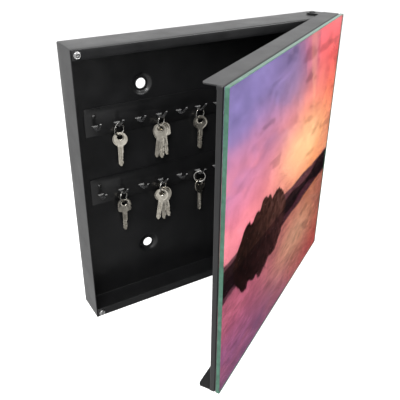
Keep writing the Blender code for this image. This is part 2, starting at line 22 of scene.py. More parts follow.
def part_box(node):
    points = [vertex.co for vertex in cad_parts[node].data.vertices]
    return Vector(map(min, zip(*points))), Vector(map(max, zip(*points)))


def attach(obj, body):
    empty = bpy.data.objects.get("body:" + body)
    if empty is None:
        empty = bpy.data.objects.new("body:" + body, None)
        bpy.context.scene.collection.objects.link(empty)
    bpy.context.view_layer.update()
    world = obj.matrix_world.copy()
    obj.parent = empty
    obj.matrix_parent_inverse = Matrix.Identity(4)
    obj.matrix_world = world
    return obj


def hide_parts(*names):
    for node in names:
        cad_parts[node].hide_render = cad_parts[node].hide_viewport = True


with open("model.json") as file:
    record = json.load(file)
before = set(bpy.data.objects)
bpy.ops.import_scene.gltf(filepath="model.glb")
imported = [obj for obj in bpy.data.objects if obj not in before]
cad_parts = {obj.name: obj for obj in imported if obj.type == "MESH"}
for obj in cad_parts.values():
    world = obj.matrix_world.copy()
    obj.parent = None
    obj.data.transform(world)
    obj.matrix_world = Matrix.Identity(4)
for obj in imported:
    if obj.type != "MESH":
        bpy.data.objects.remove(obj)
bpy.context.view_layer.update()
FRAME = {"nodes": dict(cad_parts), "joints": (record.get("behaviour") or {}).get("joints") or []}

MM = 0.001

# Points closer than this many metres become one, by the size of a piece's cells.
MERGE = 1e-6
MERGE_SMALL = 2e-6
MERGE_KEY = 4e-6
MERGE_SHEET = 1e-5

# Radius in millimetres at which a turned profile ends on its axis; the weld closes it.
POLE = 0.001

# Points strictly inside a round corner, and the angles of the loops round a fold.
CORNER_STEPS = 5
FOLD_TURNS = np.radians(np.linspace(0.0, 90.0, 7))

# Distance in millimetres that stands for "no edge near" in the relief of a key.
FAR = 9.0

# Point attribute that carries the printed colours.
INK = "ink"

# Width in millimetres of the rounding along a sheet's cut edges.
CUT_EASE = 0.16

LOG = logging.getLogger("key_cabinet")

Array = np.ndarray


class Side(Enum):
    """Which way along an axis a mirrored piece sits."""

    LOW = -1
    HIGH = 1


class Bow(Enum):
    """Head shapes of the keys."""

    ROUND = "round"
    SQUARE = "square"
    SHIELD = "shield"


# ================================================================ maths ====
def smoothstep(low: float, high: float, value: Array) -> Array:
    """Blend from 0 at low to 1 at high with flat ends: 3t^2 - 2t^3."""
    t = np.clip((value - low) / (high - low), 0.0, 1.0)
    return t * t * (3.0 - 2.0 * t)


def lattice(x: Array, y: Array, seed: int) -> Array:
    """Smooth value noise between 0 and 1.

    The corners of a unit lattice get the fractional part of a large sine, and
    each point blends its four corners with smoothstep weights.

    Args:
        x: First coordinates.
        y: Second coordinates.
        seed: Picks a different pattern.

    Returns:
        Noise of the same shape as x.
    """
    ix, iy = np.floor(x), np.floor(y)
    fx, fy = smoothstep(0, 1, x - ix), smoothstep(0, 1, y - iy)

    def corner(i: Array, j: Array) -> Array:
        """Random number of one lattice corner."""
        return np.mod(np.sin(i * 127.1 + j * 311.7 + seed * 74.7) * 43758.5453, 1.0)

    low = corner(ix, iy) * (1 - fx) + corner(ix + 1, iy) * fx
    high = corner(ix, iy + 1) * (1 - fx) + corner(ix + 1, iy + 1) * fx
    return low * (1 - fy) + high * fy


def layered(x: Array, y: Array, seed: int, layers: int = 4) -> Array:
    """Sum of lattice noises, each twice as fine and half as strong.

    Args:
        x: First coordinates.
        y: Second coordinates.
        seed: Picks a different pattern.
        layers: How many noises are added.

    Returns:
        Noise between 0 and 1, of the same shape as x.
    """
    total, weight = np.zeros_like(x), 0.0
    for k in range(layers):
        total = total + lattice(x * 2 ** k, y * 2 ** k, seed + k) * 0.5 ** k
        weight += 0.5 ** k
    return total / weight


def turn_z(points: Array, angle: float, centre: Sequence[float] = (0.0, 0.0, 0.0)) -> Array:
    """Turn points about a vertical line through centre, angle in radians.

    Args:
        points: Array whose last axis is (x, y, z).
        angle: Angle, anticlockwise seen from above.
        centre: A point on the line.

    Returns:
        The turned points.
    """
    c, s = math.cos(angle), math.sin(angle)
    shifted = points - np.asarray(centre, float)
    turned = np.stack([shifted[..., 0] * c - shifted[..., 1] * s,
                       shifted[..., 0] * s + shifted[..., 1] * c, shifted[..., 2]], -1)
    return turned + np.asarray(centre, float)


def turn_y(points: Array, angle: float) -> Array:
    """Turn points about the Y axis, angle in radians.

    Args:
        points: Array whose last axis is (x, y, z).
        angle: Angle; a positive one turns +Z towards +X.

    Returns:
        The turned points.
    """
    c, s = math.cos(angle), math.sin(angle)
    return np.stack([points[..., 0] * c + points[..., 2] * s, points[..., 1],
                     points[..., 2] * c - points[..., 0] * s], -1)


def smooth_polyline(points: Array, closed: bool, passes: int = 2) -> Array:
    """Round a polyline by corner cutting: each edge keeps its middle half.

    Args:
        points: Corners, one in each row.
        closed: Whether the last corner joins the first.
        passes: How many times the corners are cut.

    Returns:
        The rounded polyline; an open one keeps its two ends.
    """
    for _ in range(passes):
        following = np.roll(points, -1, 0)
        cut = np.stack([0.75 * points + 0.25 * following,
                        0.25 * points + 0.75 * following], 1)
        if closed:
            points = cut.reshape(-1, points.shape[1])
        else:
            points = np.vstack([points[:1], cut[:-1].reshape(-1, points.shape[1]), points[-1:]])
    return points


def resample(points: Array, count: int) -> Array:
    """Place count points evenly along an open polyline, ends included.

    Args:
        points: Corners, one in each row.
        count: How many points to place.

    Returns:
        Array of count rows.
    """
    steps = np.linalg.norm(np.diff(points, axis=0), axis=1)
    along = np.concatenate([[0.0], np.cumsum(steps)])
    where = np.linspace(0.0, along[-1], count)
    return np.stack([np.interp(where, along, points[:, k]) for k in range(points.shape[1])], 1)


# ============================================================= surfaces ====
class Surface:
    """A mesh gathered from grids of points, in millimetres."""

    def __init__(self) -> None:
        """Start with nothing in it."""
        self.points: list[Array] = []
        self.faces: list[list[int]] = []
        self.slots: list[Array] = []
        self.count = 0

    def grid(self, points: Array, wrap_rows: bool = False, wrap_cols: bool = False,
             slot: int = 0) -> "Surface":
        """Add a grid as four-sided faces.

        Face (i, j) joins points (i, j), (i, j+1), (i+1, j+1) and (i+1, j).

        Args:
            points: Array of shape (rows, cols, 3).
            wrap_rows: Join the last row to the first.
            wrap_cols: Join the last column to the first.
            slot: Material slot of the new faces.

        Returns:
            This surface.
        """
        rows, cols = points.shape[:2]
        i = np.arange(rows if wrap_rows else rows - 1)[:, None]
        j = np.arange(cols if wrap_cols else cols - 1)[None, :]
        ahead, beside = (i + 1) % rows, (j + 1) % cols
        quads = np.stack([i * cols + j, i * cols + beside, ahead * cols + beside,
                          ahead * cols + j], -1).reshape(-1, 4) + self.count
        self.faces += quads.tolist()
        self.slots.append(np.full(len(quads), slot, np.int32))
        self.points.append(points.reshape(-1, 3))
        self.count += rows * cols
        return self

    def cap(self, loop: Array, slot: int = 0) -> "Surface":
        """Close a loop of points with one flat face.

        Args:
            loop: Points round the face, one in each row.
            slot: Material slot of the face.

        Returns:
            This surface.
        """
        self.faces.append(list(range(self.count, self.count + len(loop))))
        self.slots.append(np.array([slot], np.int32))
        self.points.append(loop)
        self.count += len(loop)
        return self

    def build(self, name: str, finishes: Sequence[bpy.types.Material],
              inside: Optional[Sequence[float]] = None, crease: float = 40.0,
              merge: float = MERGE) -> bpy.types.Object:
        """Weld the grids and make the object.

        Args:
            name: Object name.
            finishes: Materials of its slots.
            inside: For an open sheet, a point in mm on its inner side.
            crease: Edges sharper than this many degrees stay sharp.
            merge: Points closer than this many metres become one.

        Returns:
            The new object, at the origin.
        """
        mesh = bpy.data.meshes.new(name)
        mesh.from_pydata((np.vstack(self.points) * MM).tolist(), [], self.faces)
        mesh.polygons.foreach_set("material_index", np.concatenate(self.slots))
        for finish in finishes:
            mesh.materials.append(finish)
        bm = bmesh.new()
        bm.from_mesh(mesh)
        bmesh.ops.remove_doubles(bm, verts=bm.verts, dist=merge)
        bmesh.ops.dissolve_degenerate(bm, edges=bm.edges, dist=merge * 0.5)
        bmesh.ops.recalc_face_normals(bm, faces=bm.faces)
        if inside is not None:
            hub = Vector(inside) * MM
            widest = max(bm.faces, key=lambda f: f.calc_area())
            if widest.normal.dot(widest.calc_center_median() - hub) < 0:
                bmesh.ops.reverse_faces(bm, faces=bm.faces)
        bm.to_mesh(mesh)
        bm.free()
        mesh.shade_smooth()
        mesh.set_sharp_from_angle(angle=math.radians(crease))
        obj = bpy.data.objects.new(name, mesh)
        bpy.context.scene.collection.objects.link(obj)
        return obj


def rounded_loop(half_u: float, half_v: float, radius: float, inset: float,
                 side_u: Array, side_v: Array, corner_steps: int = CORNER_STEPS) -> Array:
    """Points round a rectangle with round corners, drawn in by inset.

    The straight sides keep the places side_u and side_v whatever the inset,
    and each corner is an arc of radius minus inset about a fixed centre.

    Args:
        half_u: Half width.
        half_v: Half height.
        radius: Corner radius of the full outline.
        inset: How far inside the full outline, at most radius.
        side_u: Places along the bottom and top sides, rising.
        side_v: Places along the right and left sides, rising.
        corner_steps: Points strictly inside each corner arc.

    Returns:
        Array of shape (n, 2), anticlockwise from the lower left.
    """
    cu, cv = half_u - radius, half_v - radius
    turn = np.radians(90.0 * np.arange(1, corner_steps + 1) / (corner_steps + 1))
    reach = radius - inset

    def corner(sign_u: int, sign_v: int, start: float) -> Array:
        """Arc round one corner's centre."""
        a = turn + math.radians(start)
        return np.stack([sign_u * cu + reach * np.cos(a), sign_v * cv + reach * np.sin(a)], 1)

    def side(u: Array, v: Array) -> Array:
        """One straight side."""
        u, v = np.broadcast_arrays(u, v)
        return np.stack([u, v], 1)

    return np.vstack([
        side(side_u, np.float64(-(half_v - inset))), corner(1, -1, -90.0),
        side(np.float64(half_u - inset), side_v), corner(1, 1, 0.0),
        side(side_u[::-1], np.float64(half_v - inset)), corner(-1, 1, 90.0),
        side(np.float64(-(half_u - inset)), side_v[::-1]), corner(-1, -1, 180.0)])


def on_y(flat: Array, y: float) -> Array:
    """Lift (x, z) points to 3-D at one depth."""
    return np.stack([flat[:, 0], np.full(len(flat), float(y)), flat[:, 1]], 1)


def revolve(profile: Sequence[tuple[float, float]], centre: Sequence[float], axis: Vector,
            steps: int = 48) -> Array:
    """Turn a (radius, height) profile round an axis.

    Point (i, j) is centre + axis * height_i + radius_i * (cos a_j * p + sin a_j * q),
    with p and q square to the axis.

    Args:
        profile: Pairs of radius and height.
        centre: Where height 0 stands on the axis.
        axis: Direction in which height rises.
        steps: Points round the turn.

    Returns:
        Array of shape (profile, steps, 3).
    """
    w = np.array(axis.normalized())
    p = np.array(axis.orthogonal().normalized())
    q = np.cross(w, p)
    a = np.linspace(0.0, 2 * math.pi, steps, endpoint=False)
    r, h = np.array(profile, float).T
    spoke = np.cos(a)[:, None] * p + np.sin(a)[:, None] * q
    return np.asarray(centre, float) + h[:, None, None] * w + r[:, None, None] * spoke[None]


def rounded_profile(profile: Sequence[tuple[float, float]], radius: float,
                    steps: int = 3) -> list[tuple[float, float]]:
    """Round the inner corners of an open profile.

    Each corner becomes a quadratic curve between points at most radius away
    from it along its two sides.

    Args:
        profile: Corners as pairs.
        radius: Longest reach of a curve along its sides.
        steps: Stretches in each curve.

    Returns:
        The rounded profile, with both its ends kept.
    """
    pts = np.array(profile, float)
    out = [tuple(pts[0])]
    for before, at, after in zip(pts, pts[1:], pts[2:]):
        into, away = before - at, after - at
        li, la = np.linalg.norm(into), np.linalg.norm(away)
        reach = min(radius, 0.45 * li, 0.45 * la)
        a, b = at + into / li * reach, at + away / la * reach
        for t in np.linspace(0.0, 1.0, steps + 1):
            out.append(tuple((1 - t) ** 2 * a + 2 * t * (1 - t) * at + t * t * b))
    out.append(tuple(pts[-1]))
    return out


def super_section(half_w: Array, half_t: Array, count: int, power: float = 4.0) -> Array:
    """Cross-sections with flat sides and round edges.

    (x, y) = half_w * sgn(cos a)|cos a|^(2/power), half_t * sgn(sin a)|sin a|^(2/power).

    Args:
        half_w: Half width at each station.
        half_t: Half thickness at each station.
        count: Points round the section.
        power: 2 is an ellipse and higher is squarer.

    Returns:
        Array of shape (stations, count, 2).
    """
    a = np.linspace(0.0, 2 * math.pi, count, endpoint=False) + math.pi / count
    cx = np.sign(np.cos(a)) * np.abs(np.cos(a)) ** (2 / power)
    sy = np.sign(np.sin(a)) * np.abs(np.sin(a)) ** (2 / power)
    return np.stack([half_w[:, None] * cx, half_t[:, None] * sy], -1)


def soften_edges(obj: bpy.types.Object, width: float, angle: float = 50.0,
                 segments: int = 2) -> None:
    """Round a sheet's cut edges by width, in millimetres.

    Args:
        obj: Piece to finish.
        width: Width of the rounding.
        angle: Only edges sharper than this many degrees are rounded.
        segments: Faces across the rounding.
    """
    mod = obj.modifiers.new("edge", "BEVEL")
    mod.width = width * MM
    mod.segments = segments
    mod.limit_method = "ANGLE"
    mod.angle_limit = math.radians(angle)
    mod.harden_normals = False


def thicken(obj: bpy.types.Object, thickness: float) -> None:
    """Give an open folded sheet its thickness, inwards, in millimetres.

    Args:
        obj: Sheet to finish, with its faces pointing outwards.
        thickness: Sheet thickness.
    """
    mod = obj.modifiers.new("sheet", "SOLIDIFY")
    mod.thickness = thickness * MM
    mod.offset = -1.0
    mod.use_even_offset = False
    mod.use_quality_normals = True


# ============================================================= finishes ====
class Graph:
    """A material's node tree, with short calls for the nodes used here."""

    def __init__(self, name: str) -> None:
        """Make the material with one Principled shader.

        Args:
            name: Material name.
        """
        self.material = bpy.data.materials.new(name)
        self.material.use_nodes = True
        self.nodes = self.material.node_tree.nodes
        self.links = self.material.node_tree.links
        self.shader = self.nodes["Principled BSDF"]

    def plain(self, **values: object) -> None:
        """Set the shader's own sockets; underscores stand for spaces."""
        for key, value in values.items():
            self.shader.inputs[key.replace("_", " ")].default_value = value

    def node(self, kind: str, **settings: object) -> bpy.types.Node:
        """Add a node and set its properties.

        Args:
            kind: Blender node type.
            settings: Properties of the node.

        Returns:
            The new node.
        """
        made = self.nodes.new(kind)
        for key, value in settings.items():
            setattr(made, key, value)
        return made

    def join(self, out: bpy.types.NodeSocket, into: bpy.types.NodeSocket) -> None:
        """Link two sockets."""
        self.links.new(out, into)

    def place(self, stretch: Sequence[float] = (1.0, 1.0, 1.0)) -> bpy.types.NodeSocket:
        """Object coordinates, stretched along each axis.

        Args:
            stretch: Scale along each axis.

        Returns:
            Socket with the stretched coordinates.
        """
        coords = self.node("ShaderNodeTexCoord")
        mapping = self.node("ShaderNodeMapping")
        mapping.inputs["Scale"].default_value = stretch
        self.join(coords.outputs["Object"], mapping.inputs["Vector"])
        return mapping.outputs["Vector"]

    def noise(self, scale: float, detail: float = 3.0, rough: float = 0.5,
              stretch: Sequence[float] = (1.0, 1.0, 1.0)) -> bpy.types.NodeSocket:
        """Noise on Object coordinates; scale is features per metre.

        Args:
            scale: Features per metre.
            detail: Finer layers added.
            rough: Strength of the finer layers.
            stretch: Scale along each axis.

        Returns:
            Socket with the noise, near 0.5 on average.
        """
        tex = self.node("ShaderNodeTexNoise")
        tex.inputs["Scale"].default_value = scale
        tex.inputs["Detail"].default_value = detail
        tex.inputs["Roughness"].default_value = rough
        self.join(self.place(stretch), tex.inputs["Vector"])
        return tex.outputs["Fac"]

    def ramp(self, fac: bpy.types.NodeSocket, low: float, high: float, start: float,
             stop: float) -> bpy.types.NodeSocket:
        """Map fac from low..high to start..stop, clamped.

        Args:
            fac: Value to map.
            low: Value that gives start.
            high: Value that gives stop.
            start: Result at low.
            stop: Result at high.

        Returns:
            Socket with the result.
        """
        tool = self.node("ShaderNodeMapRange")
        for key, value in (("From Min", low), ("From Max", high), ("To Min", start),
                           ("To Max", stop)):
            tool.inputs[key].default_value = value
        self.join(fac, tool.inputs["Value"])
        return tool.outputs["Result"]

    def tint(self, fac: bpy.types.NodeSocket, first: Sequence[float],
             second: Sequence[float]) -> bpy.types.NodeSocket:
        """Blend two colours by fac.

        Args:
            fac: Share of the second colour.
            first: Colour at 0.
            second: Colour at 1.

        Returns:
            Socket with the colour.
        """
        tool = self.node("ShaderNodeMix", data_type="RGBA")
        tool.inputs["A"].default_value = (*first, 1.0)
        tool.inputs["B"].default_value = (*second, 1.0)
        self.join(fac, tool.inputs["Factor"])
        return next(s for s in tool.outputs if s.type == "RGBA")

    def maths(self, operation: str, a: bpy.types.NodeSocket,
              b: object) -> bpy.types.NodeSocket:
        """Combine two values.

        Args:
            operation: Name of the operation.
            a: First value.
            b: Second value, a number or a socket.

        Returns:
            Socket with the result.
        """
        tool = self.node("ShaderNodeMath", operation=operation)
        self.join(a, tool.inputs[0])
        if isinstance(b, (int, float)):
            tool.inputs[1].default_value = float(b)
        else:
            self.join(b, tool.inputs[1])
        return tool.outputs[0]

    def bump(self, height: bpy.types.NodeSocket, strength: float, distance: float,
             under: Optional[bpy.types.NodeSocket] = None) -> bpy.types.NodeSocket:
        """Bump from a height, distance in metres, over another bump if given.

        Args:
            height: Height, 0 to 1.
            strength: Share of the bump that shows.
            distance: Height in metres that 1 stands for.
            under: Bump to lay this one over.

        Returns:
            Socket with the normal.
        """
        tool = self.node("ShaderNodeBump")
        tool.inputs["Strength"].default_value = strength
        tool.inputs["Distance"].default_value = distance
        self.join(height, tool.inputs["Height"])
        if under is not None:
            self.join(under, tool.inputs["Normal"])
        return tool.outputs["Normal"]


@dataclass(frozen=True)
class PowderCoat:
    """Fine satin powder coat: orange peel, faint mottle and settled dust."""

    name: str
    colour: tuple[float, float, float] = (0.0055, 0.0056, 0.0060)
    light: tuple[float, float, float] = (0.0100, 0.0101, 0.0108)
    gloss: float = 0.34
    peel: float = 950.0

    def make(self) -> bpy.types.Material:
        """Build the material.

        Returns:
            The material.
        """
        g = Graph(self.name)
        g.plain(Metallic=0.0, IOR=1.5)
        mottle = g.noise(38.0, 4.0, 0.62)
        speck = g.noise(5200.0, 1.0, 0.5)
        blend = g.maths("MULTIPLY", g.ramp(mottle, 0.35, 0.72, 0.15, 1.0),
                        g.ramp(speck, 0.38, 0.66, 0.25, 1.0))
        g.join(g.tint(blend, self.colour, self.light), g.shader.inputs["Base Color"])
        g.join(g.ramp(mottle, 0.3, 0.75, self.gloss - 0.05, self.gloss + 0.07),
               g.shader.inputs["Roughness"])
        coarse = g.bump(g.noise(self.peel, 2.0, 0.5), 0.22, 0.00010)
        g.join(g.bump(speck, 0.10, 0.00003, coarse), g.shader.inputs["Normal"])
        return g.material


@dataclass(frozen=True)
class PlatedMetal:
    """Bright plated metal with faint handling marks."""

    name: str
    colour: tuple[float, float, float]
    dull: tuple[float, float, float]
    gloss: float = 0.22
    marks: float = 420.0

    def make(self) -> bpy.types.Material:
        """Build the material.

        Returns:
            The material.
        """
        g = Graph(self.name)
        g.plain(Metallic=1.0)
        haze = g.noise(self.marks, 5.0, 0.65)
        g.join(g.tint(g.ramp(haze, 0.38, 0.70, 0.0, 1.0), self.colour, self.dull),
               g.shader.inputs["Base Color"])
        g.join(g.ramp(haze, 0.3, 0.75, self.gloss - 0.06, self.gloss + 0.14),
               g.shader.inputs["Roughness"])
        g.join(g.bump(g.noise(self.marks * 6, 3.0, 0.6), 0.08, 0.00003),
               g.shader.inputs["Normal"])
        return g.material


@dataclass(frozen=True)
class MilledMetal:
    """Nickel silver key blank: milled grain along the blade and dull pits."""

    name: str
    colour: tuple[float, float, float] = (0.66, 0.62, 0.54)
    dull: tuple[float, float, float] = (0.40, 0.37, 0.31)
    gloss: float = 0.27

    def make(self) -> bpy.types.Material:
        """Build the material.

        Returns:
            The material.
        """
        g = Graph(self.name)
        g.plain(Metallic=1.0)
        grain = g.noise(900.0, 3.0, 0.6, (1.0, 1.0, 0.06))
        tarnish = g.noise(230.0, 4.0, 0.6)
        blend = g.maths("MULTIPLY", g.ramp(tarnish, 0.40, 0.72, 0.0, 1.0),
                        g.ramp(grain, 0.30, 0.70, 0.5, 1.0))
        g.join(g.tint(blend, self.colour, self.dull), g.shader.inputs["Base Color"])
        g.join(g.ramp(tarnish, 0.3, 0.75, self.gloss - 0.07, self.gloss + 0.16),
               g.shader.inputs["Roughness"])
        g.join(g.bump(grain, 0.18, 0.00004), g.shader.inputs["Normal"])
        return g.material


@dataclass(frozen=True)
class ClearGlass:
    """Tempered float glass, nearly clear, with a very faint roller wave."""

    name: str

    def make(self) -> bpy.types.Material:
        """Build the material.

        Returns:
            The material.
        """
        g = Graph(self.name)
        g.plain(Base_Color=(0.97, 0.99, 0.98, 1.0), Transmission_Weight=1.0, IOR=1.46,
                Metallic=0.0)
        g.join(g.ramp(g.noise(60.0, 3.0, 0.6), 0.4, 0.8, 0.0, 0.03),
               g.shader.inputs["Roughness"])
        g.join(g.bump(g.noise(9.0, 1.0, 0.4), 0.02, 0.0004), g.shader.inputs["Normal"])
        return g.material


@dataclass(frozen=True)
class GlassEdge:
    """Ground and polished glass edge, where the green body colour shows."""

    name: str
    deep: tuple[float, float, float] = (0.030, 0.085, 0.058)
    pale: tuple[float, float, float] = (0.055, 0.140, 0.098)

    def make(self) -> bpy.types.Material:
        """Build the material.

        Returns:
            The material.
        """
        g = Graph(self.name)
        g.plain(Metallic=0.0, IOR=1.5)
        bands = g.noise(160.0, 3.0, 0.6)
        g.join(g.tint(g.ramp(bands, 0.35, 0.7, 0.0, 1.0), self.deep, self.pale),
               g.shader.inputs["Base Color"])
        g.join(g.ramp(bands, 0.3, 0.7, 0.10, 0.24), g.shader.inputs["Roughness"])
        g.join(g.bump(g.noise(2600.0, 2.0, 0.5), 0.05, 0.00002), g.shader.inputs["Normal"])
        return g.material


@dataclass(frozen=True)
class PrintedFilm:
    """Printed picture, read from the film's own point colours, with fine ink grain."""

    name: str
    attribute: str

    def make(self) -> bpy.types.Material:
        """Build the material.

        Returns:
            The material.
        """
        g = Graph(self.name)
        g.plain(Metallic=0.0)
        g.shader.inputs["Specular IOR Level"].default_value = 0.0
        ink = g.node("ShaderNodeAttribute", attribute_name=self.attribute)
        grain = g.ramp(g.noise(3000.0, 2.0, 0.6), 0.3, 0.7, 0.95, 1.04)
        scale = g.node("ShaderNodeVectorMath", operation="SCALE")
        g.join(ink.outputs["Color"], scale.inputs[0])
        g.join(grain, scale.inputs["Scale"])
        g.join(scale.outputs["Vector"], g.shader.inputs["Base Color"])
        g.join(g.ramp(g.noise(300.0), 0.3, 0.7, 0.45, 0.60), g.shader.inputs["Roughness"])
        return g.material


@dataclass(frozen=True)
class Matt:
    """Matt foam or plastic with cells or moulding grain."""

    name: str
    colour: tuple[float, float, float]
    light: tuple[float, float, float]
    cell: float
    rough: float = 0.8

    def make(self) -> bpy.types.Material:
        """Build the material.

        Returns:
            The material.
        """
        g = Graph(self.name)
        g.plain(Metallic=0.0)
        cells = g.noise(self.cell, 3.0, 0.6)
        g.join(g.tint(g.ramp(cells, 0.35, 0.7, 0.0, 1.0), self.colour, self.light),
               g.shader.inputs["Base Color"])
        g.join(g.ramp(cells, 0.3, 0.7, self.rough - 0.1, self.rough + 0.1),
               g.shader.inputs["Roughness"])
        g.join(g.bump(cells, 0.3, 0.0001), g.shader.inputs["Normal"])
        return g.material


class Finishes:
    """Every finish of the cabinet, made once."""

    def __init__(self) -> None:
        """Make the materials."""
        self.shell = PowderCoat("cabinet_black_coat").make()
        # A darker copy of the cabinet's black coat for the rail inside the box: painted shade.
        self.rail = PowderCoat("rail_coat_painted_darker", (0.0040, 0.0041, 0.0044),
                               (0.0075, 0.0075, 0.0080), 0.32, 1100.0).make()
        # The hooks bend out of the rail's own coated sheet; this lighter copy of the black coat
        # is painted light on them.
        self.hook = PowderCoat("hook_coat_painted_lighter", (0.0400, 0.0400, 0.0410),
                               (0.0600, 0.0600, 0.0620), 0.26, 1300.0).make()
        # A lighter copy of the cabinet's black coat for the door tray outside the box: painted
        # light.
        self.tray = PowderCoat("tray_coat_painted_lighter", (0.0090, 0.0092, 0.0096),
                               (0.0150, 0.0152, 0.0160), 0.38).make()
        # Painted highlight: a much lighter copy of the hook coat for the hooks' up-facing root
        # tops and tips.
        self.wear_and_highlight = PowderCoat("hook_coat_painted_highlight", (0.17, 0.17, 0.17),
                               (0.28, 0.28, 0.27), 0.24, 1300.0).make()
        self.glass = ClearGlass("clear_tempered_glass").make()
        self.edge = GlassEdge("polished_glass_edge").make()
        self.print = PrintedFilm("sunset_print", INK).make()
        self.film_back = Matt("film_backing", (0.045, 0.045, 0.045),
                              (0.075, 0.075, 0.073), 900.0, 0.6).make()
        self.tape = Matt("foam_tape_cells", (0.018, 0.018, 0.018), (0.035, 0.035, 0.034),
                         2600.0, 0.88).make()
        self.washer = Matt("nylon_moulding", (0.24, 0.24, 0.23), (0.34, 0.34, 0.33), 1800.0,
                           0.55).make()
        self.magnet = PlatedMetal("magnet_nickel_plate", (0.74, 0.74, 0.73),
                                  (0.52, 0.52, 0.52), 0.24, 700.0).make()
        self.pin = PlatedMetal("black_zinc_plate", (0.075, 0.075, 0.078),
                               (0.030, 0.030, 0.031), 0.34, 900.0).make()
        self.retainer = PlatedMetal("spring_steel", (0.38, 0.38, 0.39),
                                    (0.22, 0.22, 0.23), 0.34, 800.0).make()
        self.rivet = PlatedMetal("blackened_rivet", (0.16, 0.16, 0.16),
                                 (0.07, 0.07, 0.07), 0.32, 1200.0).make()
        self.ring = PlatedMetal("split_ring_nickel", (0.60, 0.59, 0.56),
                                (0.38, 0.37, 0.35), 0.20, 1500.0).make()
        self.key = MilledMetal("nickel_silver_bright").make()
        self.key_worn = MilledMetal("nickel_silver_worn", (0.50, 0.47, 0.41),
                                    (0.26, 0.24, 0.20), 0.33).make()


# ============================================================== placing ====
def dress(node: str, finish: bpy.types.Material) -> None:
    """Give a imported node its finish.

    Args:
        node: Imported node.
        finish: Its material.
    """
    obj = FRAME["nodes"][node]
    obj.data.materials.clear()
    obj.data.materials.append(finish)


def stand_in(obj: bpy.types.Object, body: str, node: str) -> None:
    """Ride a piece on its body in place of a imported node.

    Args:
        obj: The new piece.
        body: Body that carries it.
        node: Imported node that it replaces.
    """
    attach(obj, body)
    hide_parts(node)
    LOG.info("%s: %d faces, rides on %s", obj.name, len(obj.data.polygons), body)


def node_centre(node: str) -> Array:
    """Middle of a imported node's box, in millimetres."""
    low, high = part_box(node)
    return (np.array(low) + np.array(high)) / 2 / MM


